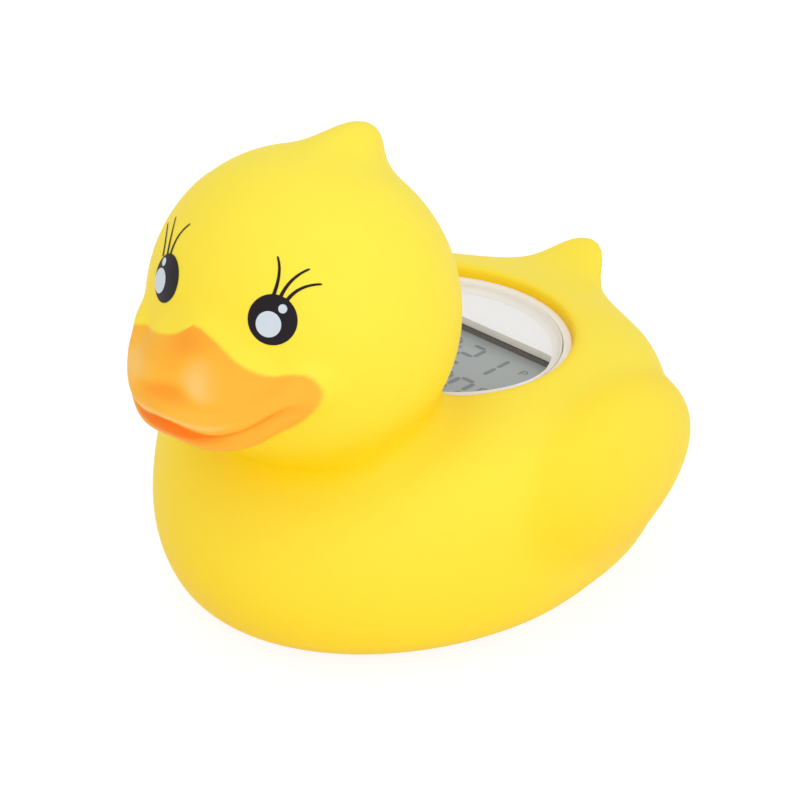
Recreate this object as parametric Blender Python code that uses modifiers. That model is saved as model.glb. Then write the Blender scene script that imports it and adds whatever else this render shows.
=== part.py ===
"""Baby bath thermometer: a hollow soft vinyl duck that carries a round electronic module.

The duck faces -Y, its own left is +X, and it stands on the floor at z = 0.
The origin is on the floor, under the middle of the whole duck.
"""
import math

import bmesh
import bpy
import numpy as np
from mathutils import Matrix, Vector

MM = 0.001


def mm(*values):
    """Millimetres to metres."""
    return tuple(value * MM for value in values)


# Driving sizes of the duck
WALL = 2.2 * MM                 # thickness of the soft vinyl
GAP = 0.3 * MM                  # between pieces that touch
ORIGIN_SHIFT = 1.69 * MM        # the sizes below are laid out from the module; this centres the whole duck

# The body, the breast and the flat back around the hole
BODY_MIDDLE = mm(0, 4.9, 18.5)
BODY_HALF = mm(39.6, 41.5, 28.6)
BODY_POWER = 2.49
BREAST_MIDDLE = mm(0, -17.6, 15.0)
BREAST_HALF = mm(26.0, 28.0, 21.1)
BREAST_BLEND = 10.9 * MM
BACK_HEIGHT = 39.2 * MM
BACK_BLEND = 6.6 * MM
FOOT_BLEND = 6.2 * MM
SOLE_BLEND = 2.4 * MM            # a second, tighter rounding that leaves the sole at z = 0

# Tail, wings, head and crest
TAIL_MIDDLE = mm(0, 47.0, 33.9)
TAIL_HALF = mm(5.9, 9.65, 1.4)
TAIL_TILT = 25.3
TAIL_BLEND = 8.2 * MM
WING_MIDDLE = mm(32.9, 9.75, 22.9)
WING_HALF = mm(9.4, 24.6, 14.0)
WING_TILT = -3.1
WING_BLEND = 3.1 * MM
HEAD_MIDDLE = mm(0, -25.5, 55.15)
HEAD_HALF = mm(25.0, 23.5, 25.6)
CREST_MIDDLE = mm(0, -14.8, 77.9)
CREST_HALF = mm(3.5, 6.3, 4.0)
CREST_TILT = 7.6
CREST_BLEND = 5.85 * MM
NECK_BLEND = 6.2 * MM

# The hollow under the back of the head that leaves room for the module's ring
RECESS_MIDDLE = mm(0, 7.5, 39.2)
RECESS_HALF = mm(24.9, 24.9, 11.5)
RECESS_FLOOR = 40.4 * MM
RECESS_BLEND = 1.6 * MM

# The bill: a rolled upper lip, two soft lobes above it and a lower bill under it
LIP_WIDTH = 15.0 * MM
LIP_BACK = -44.5 * MM
LIP_REACH = 12.1 * MM
LIP_POWER = 1.62
LIP_RADIUS = 1.5 * MM
LIP_HEIGHT = 50.4 * MM
LIP_DIP = 0.85 * MM
LIP_RISE = 3.4 * MM
LOWER_LIP_WIDTH = 14.5 * MM
LOWER_LIP_REACH = 10.8 * MM
LOWER_LIP_DROP = 2.75 * MM
LOWER_LIP_RADIUS = 1.7 * MM
LOBE_MIDDLE = mm(4.3, -46.5, 52.75)
LOBE_HALF = mm(8.6, 10.1, 5.9)
LOBE_TILT = 25.0
BILL_ROOT_MIDDLE = mm(0, -46.0, 57.1)
BILL_ROOT_HALF = mm(4.3, 3.1, 4.3)
CHEEK_MIDDLE = mm(15.4, -41.8, 53.7)
CHEEK_RADIUS = 2.5 * MM
CHIN_MIDDLE = mm(0, -46.5, 46.5)
CHIN_HALF = mm(12.1, 8.7, 2.8)

# Printed eyes
EYE_SIDE = 10.45 * MM
EYE_HEIGHT = 64.15 * MM
EYE_RADIUS = 3.75 * MM
BIG_GLINT_RADIUS = 1.9 * MM
SMALL_GLINT_RADIUS = 0.8 * MM
PRINT_THICKNESS = 0.3 * MM
LASH_WIDTH = 0.45 * MM

# The round module, whose axis stands upright in the duck's back
MODULE_PLACE = mm(0, 7.5, 0)
MODULE_TURN = -5.4              # degrees, as it was pushed in
RING_RADIUS = 23.7 * MM
RING_TOP = 36.8 * MM
SHOULDER_TOP = RING_TOP - 0.9 * MM
LIP_WIDTH = 2.5 * MM            # the vinyl round the hole reaches down to the module's shoulder
LENS_RING_RADIUS = 22.1 * MM
LENS_RING_BORE = 20.5 * MM
CASE_RADIUS = 25.2 * MM
CASE_WALL = 1.8 * MM
CASE_JOINT = 22.5 * MM
BELLY_RADIUS = 19.8 * MM
BELLY_BOTTOM = 2.0 * MM
WINDOW_SIDE = 11.6 * MM          # the window's straight edges, at both sides of its middle
WINDOW_RADIUS = 20.7 * MM       # its round ends
WINDOW_ARCH = (19.7 * MM, 4.8 * MM)  # radius and middle of the arch that narrows it towards the head

# Mesh sizes: a fine one while the duck is shaped, then a light one
SKIN_VOXEL = 1.1 * MM
LINING_VOXEL = 2.0 * MM
SWELL = 0.9 * MM
SOLE_EASE = 0.35 * MM           # what lies this close to the floor is pressed flat
FACET_EASE = 0.06 * MM          # how far the light skin's corners stand out, so that its faces lie on the form
SKIN_TRIANGLES = 4400
LINING_TRIANGLES = 1500
ROUND_STEPS = 40                # around the module's housings

YELLOW = (0.97, 0.72, 0.035, 1)
ORANGE = (0.96, 0.38, 0.06, 1)
BLACK = (0.015, 0.014, 0.016, 1)
WHITE = (0.86, 0.86, 0.85, 1)
CLEAR = (0.9, 0.93, 0.94, 1)
DARK_GREY = (0.11, 0.10, 0.095, 1)
LCD_GREY = (0.30, 0.33, 0.32, 1)
BOARD_GREEN = (0.03, 0.16, 0.07, 1)
STEEL = (0.62, 0.62, 0.64, 1)
BRASS = (0.72, 0.56, 0.26, 1)
RUBBER = (0.10, 0.10, 0.11, 1)

for thing in list(bpy.data.objects):
    bpy.data.objects.remove(thing)

PARTS = bpy.data.collections.new("baby_bath_thermometer")
CUTTERS = bpy.data.collections.new("cutters")
bpy.context.scene.collection.children.link(PARTS)
bpy.context.scene.collection.children.link(CUTTERS)


# Materials and plain helpers

def material(name, colour, roughness, metallic=0.0):
    """A Principled material, made once for each name."""
    found = bpy.data.materials.get(name)
    if found:
        return found
    made = bpy.data.materials.new(name)
    made.use_nodes = True
    shader = made.node_tree.nodes["Principled BSDF"]
    shader.inputs["Base Color"].default_value = colour
    shader.inputs["Roughness"].default_value = roughness
    shader.inputs["Metallic"].default_value = metallic
    made.diffuse_color = colour
    return made


VINYL = material("soft_vinyl", YELLOW, 0.5)
BILL_PAINT = material("bill_paint", ORANGE, 0.5)
EYE_INK = material("eye_ink", BLACK, 0.35)
GLINT_INK = material("glint_ink", WHITE, 0.4)
CASE_PLASTIC = material("case_plastic", WHITE, 0.35)
CLEAR_PLASTIC = material("clear_plastic", CLEAR, 0.05)
HOLDER_PLASTIC = material("holder_plastic", DARK_GREY, 0.5)
LCD_GLASS = material("lcd_glass", LCD_GREY, 0.2)
BOARD = material("board_laminate", BOARD_GREEN, 0.5)
POLISHED_STEEL = material("polished_steel", STEEL, 0.25, 1.0)
SPRING_BRASS = material("spring_brass", BRASS, 0.3, 1.0)
SOFT_RUBBER = material("soft_rubber", RUBBER, 0.7)
EPOXY = material("black_epoxy", BLACK, 0.4)


def add_object(name, mesh, finish, parent=None, location=(0, 0, 0), rotation=(0, 0, 0)):
    """Link a mesh as a named part with its own finish."""
    part = bpy.data.objects.new(name, mesh)
    part.location = location
    part.rotation_euler = rotation
    part.parent = parent
    mesh.materials.clear()
    mesh.materials.append(finish)
    PARTS.objects.link(part)
    return part


def smooth(mesh, angle=35):
    """Round faces are shaded smooth, and corners stay sharp."""
    mesh.shade_smooth()
    mesh.set_sharp_from_angle(angle=math.radians(angle))


def cylinder_mesh(name, radius, low, high, segments=32, top_radius=None):
    """An upright cylinder or cone between two heights."""
    shape = bmesh.new()
    bmesh.ops.create_cone(
        shape, cap_ends=True, segments=segments, radius1=radius,
        radius2=radius if top_radius is None else top_radius, depth=high - low,
        matrix=Matrix.Translation((0, 0, (low + high) / 2)))
    mesh = bpy.data.meshes.new(name)
    shape.to_mesh(mesh)
    shape.free()
    smooth(mesh)
    return mesh


def box_mesh(name, half_x, half_y, low, high):
    """A block between two heights, centred on the upright axis."""
    shape = bmesh.new()
    size = Matrix.Diagonal((2 * half_x, 2 * half_y, high - low, 1))
    bmesh.ops.create_cube(shape, size=1, matrix=Matrix.Translation((0, 0, (low + high) / 2)) @ size)
    mesh = bpy.data.meshes.new(name)
    shape.to_mesh(mesh)
    shape.free()
    return mesh


def cutter(name, mesh, parent=None, location=(0, 0, 0)):
    """A tool shape that is never part of the object."""
    tool = bpy.data.objects.new(name, mesh)
    tool.location = location
    tool.parent = parent
    tool.hide_render = True
    tool.display_type = "WIRE"
    CUTTERS.objects.link(tool)
    return tool


def combine(part, tool, operation):
    """Join, cut or keep the overlap of a part and a tool shape."""
    step = part.modifiers.new(tool.name, "BOOLEAN")
    step.operation = operation
    step.object = tool


def turned(name, profile, finish, segments=48, parent=None, location=(0, 0, 0)):
    """A turned piece: a loop of points (radius, height) that runs down the outer side first."""
    count = len(profile)
    pairs = [(i, (i + 1) % count) for i in range(count)]
    edges = [(i, j) for i, j in pairs if profile[i][0] > 0 or profile[j][0] > 0]
    mesh = bpy.data.meshes.new(name)
    mesh.from_pydata([(radius, 0, height) for radius, height in profile], edges, [])
    part = add_object(name, mesh, finish, parent, location)
    turn = part.modifiers.new("turn", "SCREW")
    turn.steps = segments
    turn.render_steps = segments
    turn.use_merge_vertices = True
    turn.merge_threshold = 0.00001
    turn.use_smooth_shade = True
    return part


def evaluated_mesh(part):
    """The finished mesh of an object, with its modifiers applied."""
    bpy.context.view_layer.update()
    return bpy.data.meshes.new_from_object(part.evaluated_get(bpy.context.evaluated_depsgraph_get()))


# The duck's surface as a distance-like function: below zero inside the duck

def smaller(a, b, blend):
    """Union of two shapes with a soft fillet between them."""
    overlap = np.maximum(blend - np.abs(a - b), 0) / blend
    return np.minimum(a, b) - overlap * overlap * blend / 4


def larger(a, b, blend):
    """Intersection of two shapes with a soft edge."""
    return -smaller(-a, -b, blend)


def tilted(points, middle, degrees):
    """Points in the frame of a form that leans about the X direction."""
    angle = math.radians(degrees)
    x, y, z = (points - np.array(middle)).T
    lean_y = y * math.cos(angle) + z * math.sin(angle)
    lean_z = z * math.cos(angle) - y * math.sin(angle)
    return np.stack([x, lean_y, lean_z], 1)


def ellipsoid(points, half):
    half = np.array(half)
    near = np.linalg.norm(points / half, axis=1)
    slope = np.linalg.norm(points / half ** 2, axis=1)
    return near * (near - 1) / np.maximum(slope, 1e-9)


def rounded_box(points, half, power):
    """An ellipsoid whose sides are a little squarer."""
    ratio = np.abs(points) / np.array(half)
    return ((ratio ** power).sum(1) ** (1 / power) - 1) * min(half)


def tube(points, path, radius):
    """A round bead along a path of points."""
    nearest = np.full(len(points), 1.0)
    for start, end in zip(path[:-1], path[1:]):
        along = end - start
        share = np.clip((points - start) @ along / (along @ along), 0, 1)
        nearest = np.minimum(nearest, np.linalg.norm(points - start - share[:, None] * along, axis=1))
    return nearest - radius


def lip_path(width, reach, drop):
    """The smile line of one side of the bill, from its middle to the cheek."""
    turn = np.linspace(0, math.pi / 2, 24)
    x = width * np.sin(turn) ** (2 / LIP_POWER)
    y = LIP_BACK - reach * np.cos(turn) ** (2 / LIP_POWER)
    share = x / (0.967 * LIP_WIDTH)
    dip = LIP_DIP * np.sin(math.pi * np.clip(share, 0, 1)) ** 2
    z = LIP_HEIGHT - dip + LIP_RISE * share ** 3.3 - drop * (1 + 0.12 * share)
    return np.stack([x, y, z], 1)


UPPER_LIP = lip_path(LIP_WIDTH, LIP_REACH, 0)
LOWER_LIP = lip_path(LOWER_LIP_WIDTH, LOWER_LIP_REACH, LOWER_LIP_DROP)


def head_form(points):
    crest = ellipsoid(tilted(points, CREST_MIDDLE, CREST_TILT), CREST_HALF)
    return smaller(ellipsoid(points - np.array(HEAD_MIDDLE), HEAD_HALF), crest, CREST_BLEND)


def body_form(points):
    body = rounded_box(points - np.array(BODY_MIDDLE), BODY_HALF, BODY_POWER)
    body = smaller(body, ellipsoid(points - np.array(BREAST_MIDDLE), BREAST_HALF), BREAST_BLEND)
    body = larger(body, points[:, 2] - BACK_HEIGHT, BACK_BLEND)
    body = smaller(body, ellipsoid(tilted(points, TAIL_MIDDLE, TAIL_TILT), TAIL_HALF), TAIL_BLEND)
    under_floor = -points[:, 2] - SOLE_BLEND / 4
    body = larger(body, under_floor, FOOT_BLEND)
    both_sides = points * np.array([0, 1, 1]) + np.abs(points) * np.array([1, 0, 0])
    wing = ellipsoid(tilted(both_sides, WING_MIDDLE, WING_TILT), WING_HALF)
    return larger(smaller(body, wing, WING_BLEND), under_floor, SOLE_BLEND)


def bill_forms(points):
    """The upper bill and the lower bill."""
    half = points.copy()
    half[:, 0] = np.abs(points[:, 0])
    lobe_points = half.copy()
    lobe_points[:, 0] = np.hypot(half[:, 0], 2 * MM)
    upper = smaller(tube(half, UPPER_LIP, LIP_RADIUS),
                    ellipsoid(tilted(lobe_points, LOBE_MIDDLE, LOBE_TILT), LOBE_HALF), 1.9 * MM)
    upper = smaller(upper, ellipsoid(tilted(half, BILL_ROOT_MIDDLE, 20), BILL_ROOT_HALF), 3.9 * MM)
    cheek = np.linalg.norm(half - np.array(CHEEK_MIDDLE), axis=1) - CHEEK_RADIUS
    upper = smaller(upper, cheek, 3.9 * MM)
    lower = smaller(ellipsoid(tilted(half, CHIN_MIDDLE, 3), CHIN_HALF),
                    tube(half, LOWER_LIP, LOWER_LIP_RADIUS), 3.1 * MM)
    return upper, lower


def make_room(form, points):
    """Take the hollow for the module's ring out of the neck."""
    recess = ellipsoid(points - np.array(RECESS_MIDDLE), RECESS_HALF)
    recess = larger(recess, RECESS_FLOOR - points[:, 2], RECESS_BLEND)
    return larger(form, -recess, RECESS_BLEND)


def duck_form(points):
    head = head_form(points)
    upper, lower = bill_forms(points)
    face = smaller(smaller(head, upper, 3.9 * MM), smaller(lower, head, 1.95 * MM), 0.6 * MM)
    return make_room(smaller(body_form(points), face, NECK_BLEND), points)


def hollow_form(points):
    """The duck without its bill, which is too thin to be hollow."""
    return make_room(smaller(body_form(points), head_form(points), NECK_BLEND), points)


def slope_of(form, points):
    """Gradient of a form, by small steps each way."""
    step = 0.05 * MM
    slopes = []
    for axis in np.eye(3):
        slopes.append((form(points + axis * step) - form(points - axis * step)) / (2 * step))
    return np.stack(slopes, 1)


def pulled(form, points, depth=0.0, rounds=6):
    """Points moved along the slope until they lie at the given depth under the surface."""
    points = points.copy()
    for _ in range(rounds):
        slope = slope_of(form, points)
        size = np.maximum(np.linalg.norm(slope, axis=1), 0.2)
        move = (form(points) + depth * size) / size
        points -= slope / size[:, None] * np.clip(move, -2 * MM, 2 * MM)[:, None]
    return points


def pull_mesh(mesh, form, depth=0.0):
    """Every vertex of a mesh moved onto the form, with its spacing evened out on the way."""
    count = len(mesh.vertices)
    flat = np.empty(count * 3, dtype=np.float32)
    for _ in range(3):
        shape = bmesh.new()
        shape.from_mesh(mesh)
        for _ in range(2):
            bmesh.ops.smooth_vert(shape, verts=shape.verts, factor=0.5, use_axis_x=True, use_axis_y=True,
                                  use_axis_z=True)
        shape.to_mesh(mesh)
        shape.free()
        mesh.vertices.foreach_get("co", flat)
        moved = pulled(form, flat.reshape(count, 3).astype(float), depth)
        mesh.vertices.foreach_set("co", moved.astype(np.float32).ravel())
    mesh.update()


# The duck's rough lumps, its skin and its lining

def rough_duck(shrink):
    """Balls for the body, head and their features, each smaller by the wall."""
    mirrored_wing = (-WING_MIDDLE[0], WING_MIDDLE[1], WING_MIDDLE[2])
    bill_middle = (0, LIP_BACK, LIP_HEIGHT)
    bill_half = (LIP_WIDTH, LIP_REACH, LIP_REACH / 3)
    lumps = [
        (BODY_MIDDLE, BODY_HALF, 0), (BREAST_MIDDLE, BREAST_HALF, 0),
        (TAIL_MIDDLE, (TAIL_HALF[0], TAIL_HALF[1], 3 * MM), TAIL_TILT),
        (WING_MIDDLE, WING_HALF, WING_TILT), (mirrored_wing, WING_HALF, WING_TILT),
        (HEAD_MIDDLE, HEAD_HALF, 0), (CREST_MIDDLE, CREST_HALF, CREST_TILT),
        (bill_middle, bill_half, 0)]
    shape = bmesh.new()
    for middle, half, tilt in lumps:
        radii = [value - shrink for value in half]
        if shrink and min(radii) < 2 * MM:
            continue
        place = (Matrix.Translation(middle) @ Matrix.Rotation(math.radians(tilt), 4, "X")
                 @ Matrix.Diagonal((*radii, 1)))
        bmesh.ops.create_uvsphere(shape, u_segments=48, v_segments=32, radius=1, matrix=place)
    mesh = bpy.data.meshes.new("rough_duck")
    shape.to_mesh(mesh)
    shape.free()
    return mesh


def remeshed(mesh, voxel):
    """One even closed skin around a mesh."""
    holder = bpy.data.objects.new("remesh", mesh)
    CUTTERS.objects.link(holder)
    step = holder.modifiers.new("remesh", "REMESH")
    step.mode = "VOXEL"
    step.voxel_size = voxel
    result = evaluated_mesh(holder)
    bpy.data.objects.remove(holder)
    return result


def thinned(mesh, triangles):
    """The same skin with fewer triangles, most of them where it curves most."""
    count = sum(len(face.vertices) - 2 for face in mesh.polygons)
    holder = bpy.data.objects.new("thin", mesh)
    CUTTERS.objects.link(holder)
    step = holder.modifiers.new("thin", "DECIMATE")
    step.ratio = min(1.0, triangles / count)
    step.use_collapse_triangulate = True
    result = evaluated_mesh(holder)
    bpy.data.objects.remove(holder)
    return result


def with_room(mesh, depth):
    """The rough duck with the hollow for the ring already cut out of its neck."""
    holder = bpy.data.objects.new("rough", mesh)
    CUTTERS.objects.link(holder)
    top = RECESS_MIDDLE[2] + 0.8 * RECESS_HALF[2]
    room = cylinder_mesh("room", RECESS_HALF[0] + depth, RECESS_FLOOR - depth, top + depth, 48,
                         0.6 * RECESS_HALF[0] + depth)
    tool = cutter("room", room, None, MODULE_PLACE)
    combine(holder, tool, "DIFFERENCE")
    result = evaluated_mesh(holder)
    bpy.data.objects.remove(holder)
    bpy.data.objects.remove(tool)
    return result


def settle(mesh, form, depth):
    """A light skin laid back onto its form, with a flat sole to stand on."""
    flat = np.empty(len(mesh.vertices) * 3, dtype=np.float32)
    mesh.vertices.foreach_get("co", flat)
    points = pulled(form, flat.reshape(-1, 3).astype(float), depth - FACET_EASE, 3)
    if not depth:
        points[points[:, 2] < SOLE_EASE, 2] = 0
    mesh.vertices.foreach_set("co", points.astype(np.float32).ravel())
    shape = bmesh.new()
    shape.from_mesh(mesh)
    sole = [face for face in shape.faces if max(vert.co.z for vert in face.verts) <= 0]
    if sole:
        bmesh.ops.dissolve_faces(shape, faces=sole, use_verts=True)
    shape.to_mesh(mesh)
    shape.free()
    return mesh


def duck_skin(form, depth, voxel, triangles):
    """A closed skin that lies at one depth under a form."""
    mesh = with_room(remeshed(rough_duck(depth), voxel), depth)
    # Swollen a little while it is remeshed, so that the thin tail keeps its tip
    for size in (1.6 * voxel, voxel, voxel):
        mesh = remeshed(mesh, size)
        pull_mesh(mesh, form, depth - SWELL)
    pull_mesh(mesh, form, depth)
    return settle(thinned(mesh, triangles), form, depth)


def make_duck_shell():
    """Blow-moulded soft vinyl: bill, crest, tail and wings in one piece."""
    shell = add_object("duck_shell", duck_skin(duck_form, 0.0, SKIN_VOXEL, SKIN_TRIANGLES), VINYL)
    lining = cutter("lining", duck_skin(hollow_form, WALL, LINING_VOXEL, LINING_TRIANGLES))
    lip = cylinder_mesh("hole_lip", RING_RADIUS + LIP_WIDTH, SHOULDER_TOP + GAP, RECESS_FLOOR + 0.6 * MM, 48)
    combine(lining, cutter("hole_lip", lip, None, MODULE_PLACE), "DIFFERENCE")
    combine(shell, lining, "DIFFERENCE")
    back_hole = cylinder_mesh("back_hole", RING_RADIUS + GAP, CASE_JOINT, RECESS_FLOOR + 1.4 * MM, 48)
    combine(shell, cutter("back_hole", back_hole, None, MODULE_PLACE), "DIFFERENCE")
    belly_hole = cylinder_mesh("belly_hole", BELLY_RADIUS + 0.5 * MM, -10 * MM, 10 * MM, 48)
    combine(shell, cutter("belly_hole", belly_hole, None, MODULE_PLACE), "DIFFERENCE")
    smooth(shell.data, 60)
    paint_bill(shell.data)


def paint_bill(mesh):
    """The sprayed bill is the second finish of the same skin."""
    mesh.materials.append(BILL_PAINT)
    count = len(mesh.polygons)
    middles = np.empty(count * 3)
    mesh.polygons.foreach_get("center", middles)
    middles = middles.reshape(count, 3)
    upper, lower = bill_forms(middles)
    near_bill = (np.minimum(upper, lower) < 0.8 * MM) & (middles[:, 2] > 42.4 * MM)
    mesh.polygons.foreach_set("material_index", near_bill.astype(np.int32))


# Printed eyes: thin layers of ink that follow the head

def eye_place(side):
    """Matrix of one eye's plane: X across, Y up the face, Z out; side is +1 on the duck's left."""
    x = side * EYE_SIDE
    z = EYE_HEIGHT - HEAD_MIDDLE[2]
    y = -HEAD_HALF[1] * math.sqrt(1 - (x / HEAD_HALF[0]) ** 2 - (z / HEAD_HALF[2]) ** 2)
    out = Vector((x / HEAD_HALF[0] ** 2, y / HEAD_HALF[1] ** 2, z / HEAD_HALF[2] ** 2)).normalized()
    up = (Vector((0, 0, 1)) - out * out.z).normalized()
    axes = Matrix((up.cross(out), up, out)).transposed().to_4x4()
    return Matrix.Translation(Vector((x, y, z)) + Vector(HEAD_MIDDLE)) @ axes


def head_ball(name, grown):
    """The head's ball, grown by a small amount."""
    shape = bmesh.new()
    half = [value + grown for value in HEAD_HALF]
    bmesh.ops.create_uvsphere(shape, u_segments=72, v_segments=48, radius=1,
                              matrix=Matrix.Translation(HEAD_MIDDLE) @ Matrix.Diagonal((*half, 1)))
    mesh = bpy.data.meshes.new(name)
    shape.to_mesh(mesh)
    shape.free()
    return cutter(name, mesh)


def prism_mesh(name, outline, depth):
    """A flat closed outline, extruded evenly to both sides."""
    curve = bpy.data.curves.new(name, "CURVE")
    curve.dimensions = "2D"
    curve.fill_mode = "BOTH"
    curve.extrude = depth / 2
    line = curve.splines.new("POLY")
    line.points.add(len(outline) - 1)
    for point, (x, y) in zip(line.points, outline):
        point.co = (x, y, 0, 1)
    line.use_cyclic_u = True
    holder = bpy.data.objects.new(name, curve)
    CUTTERS.objects.link(holder)
    mesh = evaluated_mesh(holder)
    bpy.data.objects.remove(holder)
    shape = bmesh.new()
    shape.from_mesh(mesh)
    bmesh.ops.remove_doubles(shape, verts=shape.verts, dist=0.00001)
    bmesh.ops.recalc_face_normals(shape, faces=shape.faces)
    shape.to_mesh(mesh)
    shape.free()
    return mesh


def printed(name, mesh, place, finish):
    """An ink layer: the part of an upright outline that lies just over the head."""
    ink = add_object(name, mesh, finish)
    ink.matrix_world = place
    combine(ink, INK_OUTSIDE, "INTERSECT")
    combine(ink, INK_INSIDE, "DIFFERENCE")
    return ink


def round_outline(centre, radius, steps):
    turns = [2 * math.pi * i / steps for i in range(steps)]
    return [(centre[0] + radius * math.cos(t), centre[1] + radius * math.sin(t)) for t in turns]


def lash_outline(root, bend, tip, steps=5):
    """A tapering stroke along a bent line."""
    left = []
    right = []
    root, bend, tip = Vector(root), Vector(bend), Vector(tip)
    for i in range(steps + 1):
        t = i / steps
        middle = root * (1 - t) ** 2 + bend * (2 * t * (1 - t)) + tip * t ** 2
        along = ((bend - root) * (1 - t) + (tip - bend) * t).normalized()
        aside = Vector((-along.y, along.x)) * (LASH_WIDTH / 2 * (1 - 0.55 * t))
        left.append(tuple(middle + aside))
        right.append(tuple(middle - aside))
    return left + right[::-1]


# The lashes of the duck's left eye, as (root, bend, tip) in the eye's plane
LASHES = [
    (mm(-0.15, 4.15), mm(0.75, 6.9), mm(-0.45, 9.1)),
    (mm(1.05, 4.1), mm(1.9, 6.7), mm(4.55, 7.85)),
    (mm(2.15, 3.6), mm(3.6, 5.7), mm(6.6, 5.85))]
# Glint places (large, small) on the left eye and on the right eye
GLINTS = {"left": (mm(-0.45, -0.75), mm(1.25, 1.85)), "right": (mm(-1.2, -0.95), mm(-0.9, 2.2))}


def make_eye(label, side):
    place = eye_place(side)
    depth = 9 * MM
    large, small = GLINTS[label]
    pupil = printed(f"eye_print_{label}", prism_mesh("pupil", round_outline((0, 0), EYE_RADIUS, 28), depth),
                    place, EYE_INK)
    for size, spot, radius in (("large", large, BIG_GLINT_RADIUS), ("small", small, SMALL_GLINT_RADIUS)):
        steps = 18 if size == "large" else 12
        printed(f"eye_glint_{size}_{label}", prism_mesh("glint", round_outline(spot, radius, steps), depth),
                place, GLINT_INK)
        clear = prism_mesh("clear", round_outline(spot, radius + GAP, steps), 2 * depth)
        tool = cutter(f"clear_{size}_{label}", clear)
        tool.matrix_world = place
        combine(pupil, tool, "DIFFERENCE")
    for number, stroke in enumerate(LASHES, 1):
        points = [(x * side, y) for x, y in lash_outline(*stroke)]
        printed(f"eyelash_{label}_{number}", prism_mesh("lash", points, 2 * depth), place, EYE_INK)


make_duck_shell()
INK_OUTSIDE = head_ball("ink_outside", GAP + PRINT_THICKNESS)
INK_INSIDE = head_ball("ink_inside", GAP)
make_eye("left", 1)
make_eye("right", -1)


# The module: everything below is placed from its own upright axis

MODULE = bpy.data.objects.new("module_axis", None)
MODULE.location = MODULE_PLACE
MODULE.rotation_euler = (0, 0, math.radians(MODULE_TURN))
PARTS.objects.link(MODULE)

PLATE_TOP = RING_TOP - 1.5 * MM
PLATE_BOTTOM = PLATE_TOP - 1.4 * MM
CASE_BORE = CASE_RADIUS - CASE_WALL
HOLDER_TOP = PLATE_BOTTOM - GAP
LCD_TOP = HOLDER_TOP - 0.9 * MM
LCD_BOTTOM = LCD_TOP - 1.8 * MM
BOARD_TOP = 27.0 * MM
BOARD_BOTTOM = BOARD_TOP - 1.2 * MM
BOARD_HALF_WIDTH = 15.2 * MM
HOLDER_HALF = (20.0 * MM, WINDOW_SIDE + 1.3 * MM)
SIGHT_HALF = (HOLDER_HALF[0] - 1.5 * MM, WINDOW_SIDE)
LCD_HALF = (SIGHT_HALF[0] + 0.3 * MM, SIGHT_HALF[1] + 0.3 * MM)
DOOR_MIDDLE = (0, -6.3 * MM)
DOOR_RADIUS = 11.9 * MM
DOOR_THICK = 1.5 * MM
EAR_REACH = 12.9 * MM
EAR_RADIUS = 2.6 * MM
DOOR_SHANK = 0.8 * MM
BAY_RADIUS = 11.0 * MM
BAY_ROOF = 11.6 * MM
BAY_TOP = BAY_ROOF - 1.2 * MM
CELL_RADIUS = 10.0 * MM
CELL_TOP = 9.4 * MM
CELL_BOTTOM = CELL_TOP - 3.2 * MM
CONTACT_THICK = 0.4 * MM
TAB_TOP = BAY_ROOF + 1.3 * MM
PROBE_MIDDLE = (0, 13.2 * MM)
PROBE_RADIUS = 2.6 * MM
CONTACT_PLACES = {"right": (-8.5 * MM, 12.2 * MM), "left": (8.5 * MM, 12.2 * MM)}
CONTACT_RADIUS = 1.2 * MM


def module_cutter(name, mesh, place=(0, 0)):
    return cutter(name, mesh, MODULE, (place[0], place[1], 0))


def make_upper_housing():
    """The white upper case: ring, shoulder under the vinyl and a round wall."""
    ledge = PLATE_BOTTOM + GAP
    bottom = CASE_JOINT + GAP
    bore = LENS_RING_RADIUS + GAP
    turned("upper_housing", [
        (RING_RADIUS - 0.5 * MM, RING_TOP), (RING_RADIUS, RING_TOP - 0.5 * MM), (RING_RADIUS, SHOULDER_TOP),
        (CASE_RADIUS, SHOULDER_TOP), (CASE_RADIUS, bottom), (CASE_BORE, bottom), (CASE_BORE, ledge),
        (bore, ledge), (bore, RING_TOP - GAP), (bore + GAP, RING_TOP)], CASE_PLASTIC, ROUND_STEPS, MODULE)


def make_lens_ring():
    """The inner ring, whose bore opens upward in a hollow curve, and the clear lens in it."""
    low = PLATE_TOP + GAP
    edge = low + 0.15 * MM
    top = RING_TOP - 0.1 * MM
    reach = LENS_RING_RADIUS - LENS_RING_BORE - 0.2 * MM
    profile = [(LENS_RING_RADIUS, top), (LENS_RING_RADIUS, low), (LENS_RING_BORE, low)]
    steps = 4
    for i in range(steps + 1):
        turn = math.pi / 2 * i / steps
        profile.append((LENS_RING_BORE + reach * math.sin(turn), edge + (top - edge) * (1 - math.cos(turn))))
    turned("lens_ring", profile, CASE_PLASTIC, ROUND_STEPS, MODULE)
    lens = cylinder_mesh("display_lens", LENS_RING_BORE - GAP, low, RING_TOP - 0.4 * MM, ROUND_STEPS)
    add_object("display_lens", lens, CLEAR_PLASTIC, MODULE)


def make_face_plate():
    """White plate with its window: two straight edges, round ends and an arch towards the head."""
    low = PLATE_BOTTOM - 2 * MM
    high = PLATE_TOP + 2 * MM
    disc = cylinder_mesh("face_plate", LENS_RING_RADIUS, PLATE_BOTTOM, PLATE_TOP, ROUND_STEPS)
    plate = add_object("face_plate", disc, CASE_PLASTIC, MODULE)
    window = module_cutter("window", box_mesh("window", CASE_RADIUS, WINDOW_SIDE, low, high))
    ends = cylinder_mesh("window_ends", WINDOW_RADIUS, low, high, 64)
    combine(window, module_cutter("window_ends", ends), "INTERSECT")
    arch_radius, arch_middle = WINDOW_ARCH
    arch = cylinder_mesh("window_arch", arch_radius, low, high, 64)
    combine(window, module_cutter("window_arch", arch, (0, arch_middle)), "INTERSECT")
    combine(plate, window, "DIFFERENCE")


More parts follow.
